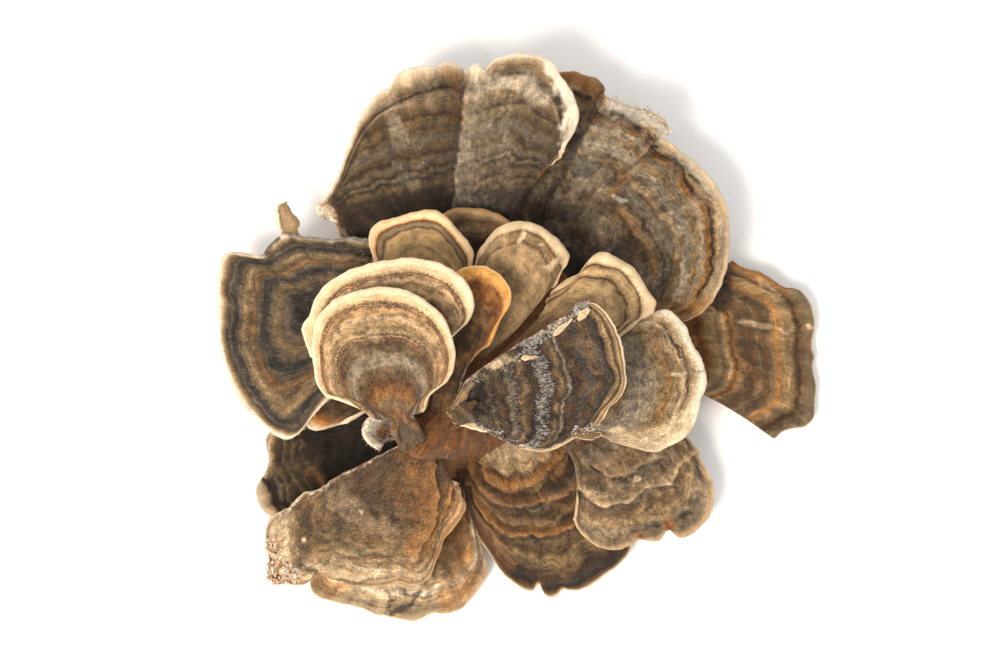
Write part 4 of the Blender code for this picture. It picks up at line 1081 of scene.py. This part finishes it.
def cap_mesh(sheet):
    """The cap as one closed mesh: a fine top, an underside of twice its spacing, and the edge they share."""
    rows, columns = sheet.top.shape[:2]
    top = np.arange(rows * columns).reshape(rows, columns)
    picked_rows = sorted({*range(0, rows, 2), rows - 1})
    picked_columns = sorted({*range(0, columns, 2), columns - 1})
    inner = np.ix_(picked_rows[:-1], picked_columns[1:-1])
    under_points = sheet.under[inner]
    under = top[np.ix_(picked_rows, picked_columns)].copy()
    under[:-1, 1:-1] = rows * columns + np.arange(under_points[..., 0].size).reshape(under_points.shape[:2])
    faces = [tuple(face) for face in quads_between(top)]
    top_count = len(faces)
    last_row, last_column = len(picked_rows) - 1, len(picked_columns) - 1
    for i in range(last_row):
        for j in range(last_column):
            ring = [under[i, j], under[i + 1, j], under[i + 1, j + 1], under[i, j + 1]]
            if i + 1 == last_row and picked_columns[j + 1] - picked_columns[j] == 2:
                ring.insert(2, top[rows - 1, picked_columns[j] + 1])
            if picked_rows[i + 1] - picked_rows[i] == 2:
                if j == 0:
                    ring.insert(1, top[picked_rows[i] + 1, 0])
                if j + 1 == last_column:
                    ring.insert(-1, top[picked_rows[i] + 1, columns - 1])
            faces.append(tuple(ring))
    root_ring = [top[0, j] for j in range(columns)] + [under[0, j] for j in range(last_column - 1, 0, -1)]
    faces.append(tuple(root_ring[::-1]))

    def whole(values):
        """The values of the top's points, then those of the underside's own points."""
        width = values.shape[2]
        return np.concatenate([values.reshape(-1, width), values[inner].reshape(-1, width)])

    mesh = bpy.data.meshes.new(sheet.cap.name)
    places = np.concatenate([sheet.top.reshape(-1, 3), under_points.reshape(-1, 3)]) * MM
    mesh.from_pydata(places.tolist(), [], faces)
    mesh.polygons.foreach_set("material_index", (np.arange(len(faces)) >= top_count).astype(int))
    store(mesh, whole(np.stack([sheet.around, sheet.zone_depth, sheet.lip], axis=-1)), whole(sheet.marks))
    mesh.shade_smooth()
    return mesh


def store(mesh, growth, marks=None):
    """The growth coordinates and the marks of every point, as attributes that the materials read."""
    made = mesh.attributes.new("growth", "FLOAT_VECTOR", "POINT")
    made.data.foreach_set("vector", growth.astype(np.float32).ravel())
    if marks is not None:
        made = mesh.attributes.new("marks", "FLOAT_COLOR", "POINT")
        made.data.foreach_set("color", marks.astype(np.float32).ravel())


def spike_mesh(roots, tips, widths):
    """Thin three sided spikes from roots to tips, as points and faces."""
    along = tips - roots
    side = unit(np.cross(along, [0.3, 0.5, 0.8]))
    other = unit(np.cross(along, side))
    rings = []
    for share, width, sag in ((0, 1, 0), (0.55, 0.75, 0.12)):
        centre = roots + along * share
        centre[:, 2] += sag * np.linalg.norm(along, axis=1)
        for turn in (0, 2 * math.pi / 3, 4 * math.pi / 3):
            offset = math.cos(turn) * side + math.sin(turn) * other
            rings.append(centre + offset * (widths * width / 2)[:, None])
    pattern = np.array([(0, 1, 4, 3), (1, 2, 5, 4), (2, 0, 3, 5)])
    ends = np.array([(3, 4, 6), (4, 5, 6), (5, 3, 6), (2, 1, 0)])
    base = (np.arange(len(roots)) * 7)[:, None, None]
    faces = (pattern + base).reshape(-1, 4).tolist() + (ends + base).reshape(-1, 3).tolist()
    return np.stack([*rings, tips], axis=1).reshape(-1, 3), faces


def kept_inside(tips):
    """The tips of hairs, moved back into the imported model's box."""
    low, high = np.array(CAD_BOX[0]) / MM + 0.1, np.array(CAD_BOX[1]) / MM - 0.1
    return np.clip(tips, low, high)


def band_hairs(sheet, rng, least, greatest, density, length, lift, width=0.07):
    """The roots, tips and widths of the hairs of one band, leaning outwards over the skin."""
    top = sheet.top
    depth = sheet.edge if greatest < EDGE_BAND else sheet.zone_depth
    inside = (depth >= least) & (depth <= greatest)
    spans = np.cross(top[1:, 1:] - top[:-1, :-1], top[1:, :-1] - top[:-1, 1:])
    area = np.linalg.norm(spans, axis=2) / 2 * (inside[:-1, :-1] & inside[1:, 1:])
    area[~np.isfinite(area)] = 0
    count = int(area.sum() * density)
    picks = rng.choice(area.size, count, p=(area / area.sum()).ravel())
    i, j = np.unravel_index(picks, area.shape)
    across, out = rng.random((2, count, 1))
    near, far = lerp(top[i, j], top[i, j + 1], across), lerp(top[i + 1, j], top[i + 1, j + 1], across)
    root = lerp(near, far, out)
    upwards = sheet.normals[i, j]
    way = unit(unit(far - near, 1e-9) + lift * upwards + 0.35 * rng.normal(size=(count, 3)))
    size = length * rng.uniform(0.5, 1.2, (count, 1))
    return root - upwards * 0.05, kept_inside(root + way * size), rng.uniform(0.7, 1.3, count) * width


def tuft_fibres(sheet, rng, line, reach, density, length, width):
    """The roots, tips and widths of the torn fibres that stand up along a line."""
    share = mark_strength(Mark("torn", line, reach, 1), sheet.top, sheet.seed + 70)
    i, j = np.nonzero(share > rng.uniform(0.2, 1, share.shape))
    area = math.pi * reach * (reach + arc_run(np.array(line))[-1])
    picks = rng.integers(0, len(i), int(density * area))
    i, j, count = i[picks], j[picks], len(picks)
    root = sheet.top[i, j] + rng.normal(size=(count, 3)) * 0.25
    way = unit(rng.normal(size=(count, 3)) + sheet.normals[i, j] * 0.7 + sheet.outwards[i, j] * 0.9)
    tips = kept_inside(root + way * length * rng.uniform(0.4, 1.3, (count, 1)))
    return root, tips, width * rng.uniform(0.4, 1.6, count)


def hair_piece(sheet):
    """All the hairs and torn fibres of one cap, as points and faces."""
    rng = np.random.default_rng(sheet.seed)
    made = [band_hairs(sheet, rng, *band) for band in sheet.cap.hairs]
    made += [tuft_fibres(sheet, rng, *tuft) for tuft in sheet.cap.tufts]
    return spike_mesh(*(np.concatenate(parts) for parts in zip(*made)))


def flap_grid(line, widths, seed):
    """A small ragged tag along a centre line: the grids of its two faces, and how far in each place lies."""
    line = np.array(line)
    steps = np.linspace(0, arc_run(line)[-1], 15)
    centre = softened(at_runs(line, steps), 1.2)
    width = np.interp(steps, np.linspace(0, steps[-1], len(widths)), widths)
    along = unit(np.gradient(centre, axis=0))
    side = unit(np.cross(along, [0, 0, 1]), 1e-9)
    upwards = np.cross(side, along)[:, None, :]
    across = np.linspace(-1, 1, 9)[None, :]
    ragged = 1 + 0.35 * waver(steps[:, None] / 0.7, np.sign(across) * 3, seed)
    reach = width[:, None] / 2 * ragged
    dent = 0.12 * waver(steps[:, None] / 0.9, across * 2, seed + 1)
    middle = centre[:, None, :] + side[:, None, :] * across[..., None] * reach[..., None]
    middle += upwards * (0.22 * reach * (1 - across**2) + dent)[..., None]
    edge = np.minimum(reach * (1 - np.abs(across)), (steps[-1] - steps)[:, None])
    half = upwards * (0.3 * np.sqrt(np.clip(edge / 0.5, 0, 1)) + 0.02)[..., None]
    return middle + half, middle - half, edge


def flap_mesh(line, widths, seed):
    """A tag as points, faces and its distance from its own edge at each point."""
    top, under, edge = flap_grid(line, widths, seed)
    rows, columns = edge.shape
    upper = np.arange(rows * columns).reshape(rows, columns)
    lower = upper + rows * columns
    faces = quads_between(upper).tolist() + quads_between(lower)[:, ::-1].tolist()
    ring = np.concatenate([upper[0], upper[1:, -1], upper[-1, -2::-1], upper[-2:0:-1, 0]])
    for start, end in zip(ring, np.roll(ring, -1)):
        faces.append([end, start, start + rows * columns, end + rows * columns])
    return np.concatenate([top.reshape(-1, 3), under.reshape(-1, 3)]), faces, np.tile(edge.ravel(), 2)


def extra_mesh(name, places, faces, depths):
    """A small mesh with these depths at its points, and no marks."""
    mesh = bpy.data.meshes.new(name)
    mesh.from_pydata((places * MM).tolist(), [], faces)
    growth = np.column_stack([places[:, 0] + places[:, 1], depths, np.zeros(len(depths))])
    store(mesh, growth, np.zeros((len(depths), 4)))
    mesh.shade_smooth()
    return mesh


@contextmanager
def edited(mesh):
    """The mesh as a bmesh, which is written back at the end of the with block."""
    bm = bmesh.new()
    bm.from_mesh(mesh)
    yield bm
    bm.to_mesh(mesh)
    bm.free()


def outward_faces(mesh):
    """Turns every face of a closed mesh outwards."""
    with edited(mesh) as bm:
        bmesh.ops.recalc_face_normals(bm, faces=bm.faces)
        if bm.calc_volume(signed=True) < 0:
            bmesh.ops.reverse_faces(bm, faces=bm.faces)


def join(mesh, parts):
    """Adds small meshes to a cap's mesh, each with its own material number."""
    with edited(mesh) as bm:
        for part, number in parts:
            part.polygons.foreach_set("material_index", np.full(len(part.polygons), number))
            bm.from_mesh(part)
            bpy.data.meshes.remove(part)


def add_to_scene(name, data):
    """A new object of the scene that shows this data."""
    made = bpy.data.objects.new(name, data)
    bpy.context.scene.collection.objects.link(made)
    return made


def new_piece(name, mesh, slot, *nodes):
    """The mesh as a piece of the rosette, standing for these nodes."""
    piece = add_to_scene(name, mesh)
    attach(piece, "root")
    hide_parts(*nodes)
    return piece


# ------------------------------------------------------------------ materials


COLOUR, VALUE = "NodeSocketColor", "NodeSocketFloat"
GREY = (0.5, 0.5, 0.5, 1)


def tint(name):
    """A colour of the palette, as a shader takes it."""
    return (*getattr(bpy.context.scene.fungus_palette, name), 1)


class Value:
    """A number or colour that runs through a graph. Arithmetic on it adds the nodes that work it out."""

    def __init__(self, graph, socket):
        self.graph, self.socket = graph, socket

    def __add__(self, other):
        return self.graph.math("ADD", self, other)

    def __radd__(self, other):
        return self.graph.math("ADD", other, self)

    def __sub__(self, other):
        return self.graph.math("SUBTRACT", self, other)

    def __rsub__(self, other):
        return self.graph.math("SUBTRACT", other, self)

    def __mul__(self, other):
        return self.graph.math("MULTIPLY", self, other)

    def __abs__(self):
        return self.graph.math("ABSOLUTE", self)

    def clamped(self):
        """The same value, held between 0 and 1."""
        self.socket.node.use_clamp = True
        return self

    def swing(self, gain):
        """A noise value turned into one around zero."""
        return (self - 0.5) * gain


class Graph:
    """A shader node tree, with a short call for each kind of node that the skins are made of."""

    def __init__(self, tree):
        self.tree = tree

    def fill(self, node, inputs):
        """Sets a node's inputs to numbers and colours, or joins them to the outputs of other nodes."""
        for key, value in dict(inputs).items():
            if isinstance(value, Value):
                self.tree.links.new(value.socket, node.inputs[key])
            else:
                node.inputs[key].default_value = value

    def add(self, kind, inputs=(), **settings):
        """A new node's outputs, by their names and by their numbers."""
        node = self.tree.nodes.new(kind)
        for name, value in settings.items():
            setattr(node, name, value)
        self.fill(node, inputs)
        found = {}
        for index, socket in enumerate(node.outputs):
            found[index] = found[socket.name] = Value(self, socket)
        return found

    def math(self, operation, *values):
        """What a Math node makes of the values."""
        return self.add("ShaderNodeMath", enumerate(values), operation=operation)[0]

    def blend(self, share, first, second, mode="MIX"):
        """Mixes two colours."""
        inputs = {0: share, 6: first, 7: second}
        return self.add("ShaderNodeMix", inputs, data_type="RGBA", blend_type=mode, clamp_factor=True)[2]

    def scaled(self, colour, gain):
        """A colour made lighter or darker."""
        return self.add("ShaderNodeVectorMath", {0: colour, "Scale": gain}, operation="SCALE")[0]

    def noise(self, vector, scale, detail=2, roughness=0.5):
        """A soft noise from 0 to 1."""
        inputs = {"Vector": vector, "Scale": scale, "Detail": detail, "Roughness": roughness}
        return self.add("ShaderNodeTexNoise", inputs)["Fac"]

    def spot(self):
        """The place in the piece's own frame, in metres."""
        return self.add("ShaderNodeTexCoord")["Object"]

    def along(self, around, depth, around_scale, depth_scale, shift):
        """A texture vector that follows the growth: its first part runs round the cap, its second inwards."""
        parts = {"X": around * around_scale, "Y": depth * depth_scale, "Z": shift}
        return self.add("ShaderNodeCombineXYZ", parts)[0]

    def growth(self):
        """The way round the cap, the depth in its zones and the lip, as the mesh has them."""
        read = self.add("ShaderNodeAttribute", attribute_name="growth")["Vector"]
        split = self.add("ShaderNodeSeparateXYZ", {0: read})
        return split[0], split[1], split[2]

    def marks(self):
        """The pale, dark, torn and warm marks, as the mesh has them; the pale and dark ones also carry
        painted light and painted shade.
        """
        read = self.add("ShaderNodeAttribute", attribute_name="marks")
        split = self.add("ShaderNodeSeparateColor", {0: read["Color"]})
        return split[0], split[1], split[2], read["Alpha"]

    def group(self, name, inputs):
        """The outputs of a shared node group, which is built when it is first asked for."""
        shared = bpy.data.node_groups.get(name) or GROUPS[name](name)
        return self.add("ShaderNodeGroup", inputs, node_tree=shared)

    def put_out(self, **outputs):
        """Ends a group with these outputs: one named Colour is a colour, the others are numbers."""
        for name in outputs:
            kind = COLOUR if name == "Colour" else VALUE
            self.tree.interface.new_socket(name, in_out="OUTPUT", socket_type=kind)
        self.add("NodeGroupOutput", outputs)
        return self.tree

    def shade(self, colour, height, roughness, sheen, bump):
        """Joins colour and relief to the material's Principled BSDF."""
        relief = self.add("ShaderNodeBump", {"Height": height, "Strength": 1, "Distance": bump})[0]
        finish = {
            "Base Color": colour, "Normal": relief, "Roughness": roughness, "Specular IOR Level": 0.25,
            "Sheen Weight": sheen, "Sheen Roughness": 0.5,
        }
        self.fill(self.tree.nodes["Principled BSDF"], finish)


def new_group(name, **inputs):
    """The graph and the inputs of a new node group, from the inputs' default values."""
    tree = bpy.data.node_groups.new(name, "ShaderNodeTree")
    for socket, default in inputs.items():
        kind = COLOUR if isinstance(default, tuple) else VALUE
        made = tree.interface.new_socket(socket.replace("_", " "), in_out="INPUT", socket_type=kind)
        made.default_value = default
    graph = Graph(tree)
    return graph, graph.add("NodeGroupInput")


def new_material(name):
    """A new material and its graph."""
    made = bpy.data.materials.new(name)
    made.use_nodes = True
    return made, Graph(made.node_tree)


def growth_group(name):
    """The depth in the zones once their edges have wandered, and fine broken lines between them."""
    graph, given = new_group(name, Around=0, Depth=0, Wander=1, Speckle=0.5)
    around, depth = given["Around"], given["Depth"]
    jag = graph.noise(graph.along(around, depth, 1.5, 0.22, 0), 1, 4, 0.6)
    slow = graph.noise(graph.along(around, depth, 0.16, 0.08, 3), 1)
    speckle = graph.noise(graph.spot(), 1700, 2, 0.7)
    shift = (jag.swing(0.8) + slow.swing(2.6)) * given["Wander"] + speckle.swing(4) * given["Speckle"]
    wandered = depth + shift * ((depth - 0.8) * 0.4).clamped()
    fine = graph.noise(graph.along(around, wandered, 0.07, 1.15, 5), 1, 4, 0.65)
    line = (1 - abs(fine.swing(1)) * 13).clamped()
    patch = graph.noise(graph.along(around, depth, 0.35, 0.5, 9), 1, 3)
    broken = ((patch - 0.42) * 7).clamped() * ((depth - 1.5) * 0.5).clamped()
    return graph.put_out(Depth=wandered, Line=line * broken, Height=fine * 1.4 - line * 0.25)


def velvet_group(name):
    """Streaks out from the root, mottling and a short nap over a colour."""
    graph, given = new_group(
        name, Colour=GREY, Veil=(0.4, 0.35, 0.3, 1), Around=0, Depth=0, Streaks=1, Mottle=1, Nap=1, Patches=0
    )
    around, depth = given["Around"], given["Depth"]
    spot = graph.spot()
    wide = graph.noise(graph.along(around, depth, 0.35, 0.05, 1), 1, 3)
    streak = graph.noise(graph.along(around, depth, 1.9, 0.3, 2), 1, 3, 0.6)
    hair = graph.noise(graph.along(around, depth, 6, 1.8, 6), 1)
    cloud = graph.noise(spot, 170, 4, 0.6)
    mottle = graph.noise(spot, 520, 5, 0.7)
    grain = graph.noise(spot, 3300, 2, 0.6)
    veiled = (((cloud - 0.47) * 3.4).clamped() * (mottle + 0.1) * given["Mottle"]).clamped()
    steady = ((depth * 0.3).clamped() + 0.2).clamped()
    colour = graph.blend(veiled * steady, given["Colour"], given["Veil"])
    patch = graph.along(around + cloud.swing(6), depth + mottle.swing(1.6), 0.2, 0.42, 4)
    cell = graph.add("ShaderNodeTexVoronoi", {"Vector": patch, "Scale": 1}, voronoi_dimensions="2D")
    worn = graph.add("ShaderNodeSeparateColor", {0: cell["Color"]})[0]
    swing = (
        worn.swing(1.6) * given["Patches"]
        + wide.swing(1.8) * given["Streaks"]
        + streak.swing(1.5) * given["Streaks"]
        + mottle.swing(3.2) * given["Mottle"]
        + hair.swing(1.1) * given["Nap"]
        + grain.swing(3) * given["Nap"]
    )
    return graph.put_out(
        Colour=graph.scaled(colour, graph.math("EXPONENT", swing * steady)),
        Height=streak * 0.5 + mottle * 1.2 + hair * 0.35 + grain * 0.25,
    )


def crumbs_group(name):
    """Scattered pale grains and dark pits over a colour."""
    graph, given = new_group(name, Colour=GREY, Share=0.15)
    spot = graph.spot()
    colour, height = given["Colour"], 0
    for scale, shade, lift in ((620, "cream", 1), (480, "black", -1)):
        cell = graph.add("ShaderNodeTexVoronoi", {"Vector": spot, "Scale": scale, "Randomness": 1})
        chance = graph.add("ShaderNodeSeparateColor", {0: cell["Color"]})[0]
        reach = graph.math("MINIMUM", (given["Share"] - chance) * 1.6, 0.2)
        mask = ((reach - cell["Distance"]) * 12).clamped()
        colour = graph.blend(mask * 0.75, colour, tint(shade))
        height = height + mask * lift
    return graph.put_out(Colour=colour, Height=height)


def marks_group(name):
    """Pale, dark and warm marks with painted light and painted shade, torn flesh and the lips of ledges,
    partly painted light, over a skin colour.
    """
    graph, given = new_group(
        name, Colour=GREY, Pale=0, Dark=0, Torn=0, Warm=0, Lip=0, Pale_colour=(0.6, 0.5, 0.3, 1),
        Warm_colour=(0.3, 0.15, 0.05, 1), Lip_colour=(0.6, 0.4, 0.2, 1),
    )
    spot = graph.spot()
    grain = graph.noise(spot, 900, 3)
    chunk = graph.noise(spot, 760, 4, 0.7)
    colour = given["Colour"]
    # painted shade is blended in with Dark in black brown, painted light with Pale and Lip
    for kind, shade in (
        ("Warm", given["Warm colour"]),
        ("Dark", tint("black")),
        ("Pale", given["Pale colour"]),
        ("Lip", given["Lip colour"]),
    ):
        broken = (given[kind] * ((given[kind] + grain.swing(0.9)) * 1.3).clamped()).clamped()
        colour = graph.blend(broken, colour, shade)
    flesh = graph.blend(((chunk - 0.42) * 4.2).clamped(), tint("plum"), tint("cream"))
    torn = (given["Torn"] * (grain + 0.5)).clamped()
    return graph.put_out(Colour=graph.blend(torn, colour, flesh), Torn=torn)


def pores_group(name):
    """Small round pores over a pale underside, which darkens a little towards the root."""
    graph, given = new_group(name, Colour=(0.7, 0.6, 0.4, 1), Width=0.3, Depth=0)
    spot = graph.spot()
    scale = graph.math("DIVIDE", 1, given["Width"])
    cell = graph.add("ShaderNodeTexVoronoi", {"Vector": spot, "Scale": scale})["Distance"]
    wall = graph.math("SMOOTH_MIN", cell * 2.2, 1, 0.2)
    patch = graph.noise(spot, 160, 3)
    tone = wall * 0.4 + patch * 0.7 + 0.25 - (given["Depth"] * 0.02).clamped() * 0.35
    return graph.put_out(Colour=graph.scaled(given["Colour"], tone), Height=wall)


GROUPS = {
    "growth": growth_group,
    "velvet": velvet_group,
    "crumbs": crumbs_group,
    "marks": marks_group,
    "pores": pores_group,
}


def zone_ramp(graph, place, zones):
    """Colour ramps that hold the zones of one cap, from its margin inwards, as many to a ramp as fit."""
    reach = zones[-1][0]
    colour = None
    for start in range(0, len(zones) - 1, RAMP_STOPS - 1):
        part = zones[start : start + RAMP_STOPS]
        ramp = graph.add("ShaderNodeValToRGB", {0: place})["Color"]
        elements = ramp.socket.node.color_ramp.elements
        elements.remove(elements[1])
        for k, (depth, name) in enumerate(part):
            element = elements[0] if k == 0 else elements.new(depth / reach)
            element.position = depth / reach
            element.color = tint(name)
        beyond = graph.math("GREATER_THAN", place, part[0][0] / reach)
        colour = graph.blend(beyond, colour, ramp) if colour else ramp
    return colour


def skin_material(cap):
    """The zoned upper skin of one cap."""
    material, graph = new_material(cap.name + "_skin")
    around, depth, lip = graph.growth()
    pale, dark, torn, warm = graph.marks()
    growth = graph.group(
        "growth", {"Around": around, "Depth": depth, "Wander": cap.wobble * 2, "Speckle": cap.speckle}
    )
    place = graph.math("DIVIDE", growth["Depth"], cap.zones[-1][0]).clamped()
    toned = graph.scaled(zone_ramp(graph, place, cap.zones), 1 - (depth * 0.3).clamped() * (1 - cap.tone))
    lined = graph.blend(growth["Line"] * cap.lines, toned, tint("umber"), "MULTIPLY")
    # the marks bring painted light and painted shade along with the skin's own marks
    marked = graph.group(
        "marks",
        {
            "Colour": lined, "Pale": pale, "Dark": dark, "Torn": torn, "Warm": warm, "Lip": lip,
            "Pale colour": tint(cap.light), "Warm colour": tint(cap.warm), "Lip colour": tint(cap.lip),
        },
    )
    velvet = graph.group(
        "velvet",
        {
            "Colour": marked["Colour"], "Veil": tint(cap.veil), "Around": around, "Depth": depth,
            "Streaks": cap.streaks, "Mottle": cap.mottle, "Nap": cap.velvet, "Patches": cap.patches,
        },
    )
    crumbs = graph.group("crumbs", {"Colour": velvet["Colour"], "Share": marked["Torn"] * 0.4 + 0.09})
    height = velvet["Height"] + growth["Height"] + crumbs["Height"] * 0.4
    graph.shade(crumbs["Colour"], height, bpy.context.scene.fungus_skin.roughness, 0.07, 0.35 * MM)
    return material


def underside_material(cap):
    """The pale pored underside of one cap."""
    material, graph = new_material(cap.name + "_pores")
    _, depth, _ = graph.growth()
    colour = graph.blend(((depth - 12) * 0.12).clamped(), tint("pores"), tint("rust"))
    width = bpy.context.scene.fungus_skin.pore
    made = graph.group("pores", {"Colour": colour, "Width": width, "Depth": depth})
    graph.shade(made["Colour"], made["Height"], 0.9, 0, 0.15 * MM)
    return material


def hair_material(cap):
    """Fine pale hairs, each a little darker or lighter than the next."""
    material, graph = new_material(cap.name + "_hairs")
    each = ((graph.noise(graph.spot(), 900) - 0.35) * 3).clamped()
    graph.shade(graph.blend(each, tint(cap.hair_colour), tint(cap.hair_shade)), each, 0.7, 0.2, 0.02 * MM)
    return material


def base_material():
    """The fibrous brown tissue of the base."""
    material, graph = new_material("base_tissue")
    around, depth, _ = graph.growth()
    made = graph.group(
        "velvet",
        {
            "Colour": graph.blend(graph.noise(graph.spot(), 150, 4, 0.6), tint("umber"), tint("rust")),
            "Veil": tint("rust"), "Around": around, "Depth": depth, "Streaks": 1, "Mottle": 0.8, "Nap": 0.6,
        },
    )
    graph.shade(made["Colour"], made["Height"], 0.9, 0.1, 0.5 * MM)
    return material


# ------------------------------------------------------------------ pieces


def grow_cap(cap):
    """One cap as one piece, with its tags and its hairs."""
    sheet = Sheet(cap, ALL_CAPS.index(cap) + 1, bpy.context.scene.fungus_skin)
    mesh = cap_mesh(sheet)
    mesh.materials.append(skin_material(cap))
    mesh.materials.append(underside_material(cap))
    parts = []
    for k, (line, widths, deep) in enumerate(cap.flaps):
        places, faces, gaps = flap_mesh(line, widths, sheet.seed + 50 + k)
        parts.append((extra_mesh(cap.name + "_tag", places, faces, np.minimum(gaps, 0.4) + deep), 0))
    if cap.hairs or cap.tufts:
        places, faces = hair_piece(sheet)
        parts.append((extra_mesh(cap.name + "_hairs", places, faces, np.full(len(places), 0.4)), 2))
        mesh.materials.append(hair_material(cap))
    join(mesh, parts)
    outward_faces(mesh)
    return new_piece(cap.name + "_grown", mesh, cap.slot, cap.name)


def grow_base():
    """The fused base, with fibrous lumpy sides and a flat cut."""
    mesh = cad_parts["fused_base"].data.copy()
    mesh.name = "fused_base"
    mesh.materials.clear()
    with edited(mesh) as bm:
        bmesh.ops.remove_doubles(bm, verts=bm.verts, dist=0.01 * MM)
        bmesh.ops.subdivide_edges(bm, edges=bm.edges, cuts=5, use_grid_fill=True)
        bmesh.ops.triangulate(bm, faces=bm.faces)
    places = vertices(mesh)
    outwards = places[:, :2] - BASE_CENTRE
    turn = np.arctan2(outwards[:, 1], outwards[:, 0])
    outwards /= np.maximum(np.linalg.norm(outwards, axis=1, keepdims=True), 1)
    height = places[:, 2]
    lumps = (0.7, turn * 6, height / 5), (0.35, turn * 16, height / 6), (0.15, turn * 40, height / 2.5)
    swell = layered(90, *lumps, start=-0.8)
    places[:, :2] += outwards * (swell * ease(height / 1.5))[:, None]
    mesh.vertices.foreach_set("co", (places * MM).ravel())
    store(mesh, np.column_stack([turn * 25, height, height * 0]))
    mesh.shade_smooth()
    outward_faces(mesh)
    mesh.materials.append(base_material())
    return new_piece("fused_base_grown", mesh, "base_tissue", "fused_base")


def grow_caps(caps):
    """Grows a group of caps, as an operator does it."""
    for cap in caps:
        grow_cap(cap)
    return {"FINISHED"}


class FUNGUS_OT_base(bpy.types.Operator):
    """Grows the fused base with its flat cut"""

    bl_idname = "fungus.base"
    bl_label = "Fused base"

    def execute(self, context):
        grow_base()
        return {"FINISHED"}


class FUNGUS_OT_large_fans(bpy.types.Operator):
    """Grows the two large upper fans and the fan at the far right"""

    bl_idname = "fungus.large_fans"
    bl_label = "Large fans"

    def execute(self, context):
        return grow_caps(LARGE_FANS)


class FUNGUS_OT_left_caps(bpy.types.Operator):
    """Grows the dark ringed cap at the left and the two caps under it"""

    bl_idname = "fungus.left_caps"
    bl_label = "Left caps"

    def execute(self, context):
        return grow_caps(LEFT_CAPS)


class FUNGUS_OT_lower_caps(bpy.types.Operator):
    """Grows the folded cap at the lower left, its skirt and the two stepped fans beside it"""

    bl_idname = "fungus.lower_caps"
    bl_label = "Lower caps"

    def execute(self, context):
        return grow_caps(LOWER_CAPS)


class FUNGUS_OT_middle_caps(bpy.types.Operator):
    """Grows the small caps and tongues between the fans"""

    bl_idname = "fungus.middle_caps"
    bl_label = "Middle caps"

    def execute(self, context):
        return grow_caps(MIDDLE_CAPS)


class FUNGUS_OT_top_caps(bpy.types.Operator):
    """Grows the cream rimmed caps, the torn wedge, the grey fan and the curl on top"""

    bl_idname = "fungus.top_caps"
    bl_label = "Top caps"

    def execute(self, context):
        return grow_caps(TOP_CAPS)


# ------------------------------------------------------------------ stage


def build_floor(stage):
    """The pale square floor."""
    half = stage.floor / 2
    mesh = bpy.data.meshes.new("floor")
    corners = [(-half, -half, 0), (half, -half, 0), (half, half, 0), (-half, half, 0)]
    mesh.from_pydata(corners, [], [(0, 1, 2, 3)])
    material, graph = new_material("pale_floor")
    finish = {"Base Color": (*stage.floor_colour, 1), "Roughness": 0.9, "Specular IOR Level": 0.1}
    graph.fill(graph.tree.nodes["Principled BSDF"], finish)
    mesh.materials.append(material)
    add_to_scene("floor", mesh)


def build_key_light(stage):
    """A square light that looks at the rosette."""
    lamp = bpy.data.lights.new("key", "AREA")
    lamp.energy = stage.key
    lamp.size = KEY_SIZE
    lamp.color = stage.key_colour
    light = add_to_scene("key", lamp)
    light.location = KEY_PLACE
    light.rotation_euler = (Vector(KEY_PLACE) - Vector(KEY_TARGET)).to_track_quat("Z", "Y").to_euler()


def build_sky(stage):
    """The even white light all round."""
    world = bpy.data.worlds.new("studio")
    world.use_nodes = True
    sky = world.node_tree.nodes["Background"]
    Graph(world.node_tree).fill(sky, {"Color": (1, 1, 1, 1), "Strength": stage.sky})
    bpy.context.scene.world = world


def build_camera(stage):
    """The camera, straight above the rosette as in the photo."""
    lens = bpy.data.cameras.new("camera")
    lens.lens = LENS
    lens.sensor_width = SENSOR
    lens.clip_start = 0.01
    camera = add_to_scene("camera", lens)
    camera.location = (*CAMERA_SPOT, stage.camera_height)
    bpy.context.scene.camera = camera


class FUNGUS_OT_stage(bpy.types.Operator):
    """Adds the pale floor, the soft lights and the camera"""

    bl_idname = "fungus.stage"
    bl_label = "Stage"

    def execute(self, context):
        for build in (build_floor, build_key_light, build_sky, build_camera):
            build(context.scene.fungus_stage)
        context.scene.view_settings.view_transform = "Standard"
        return {"FINISHED"}


class FUNGUS_PT_panel(bpy.types.Panel):
    """Lists the pieces in the order in which they are built"""

    bl_idname = "FUNGUS_PT_panel"
    bl_label = "Turkey tail fungus"
    bl_space_type = "VIEW_3D"
    bl_region_type = "UI"
    bl_category = "Fungus"

    def draw(self, context):
        for operator in OPERATORS:
            self.layout.operator(operator.bl_idname)
        for settings in (context.scene.fungus_skin, context.scene.fungus_stage, context.scene.fungus_palette):
            box = self.layout.box()
            for name in settings.bl_rna.properties.keys():
                if name not in ("rna_type", "name"):
                    box.prop(settings, name)


OPERATORS = (
    FUNGUS_OT_base,
    FUNGUS_OT_large_fans,
    FUNGUS_OT_left_caps,
    FUNGUS_OT_lower_caps,
    FUNGUS_OT_middle_caps,
    FUNGUS_OT_top_caps,
    FUNGUS_OT_stage,
)
SETTINGS = {
    "fungus_palette": FUNGUS_PG_palette,
    "fungus_skin": FUNGUS_PG_skin,
    "fungus_stage": FUNGUS_PG_stage,
}
CLASSES = (*SETTINGS.values(), *OPERATORS, FUNGUS_PT_panel)


def register():
    for made in CLASSES:
        bpy.utils.register_class(made)
    for name, made in SETTINGS.items():
        setattr(bpy.types.Scene, name, bpy.props.PointerProperty(type=made))


def unregister():
    for name in SETTINGS:
        delattr(bpy.types.Scene, name)
    for made in reversed(CLASSES):
        bpy.utils.unregister_class(made)


def main():
    register()
    bpy.ops.fungus.base()
    bpy.ops.fungus.large_fans()
    bpy.ops.fungus.left_caps()
    bpy.ops.fungus.lower_caps()
    bpy.ops.fungus.middle_caps()
    bpy.ops.fungus.top_caps()
    bpy.ops.fungus.stage()


if __name__ == "__main__":
    main()
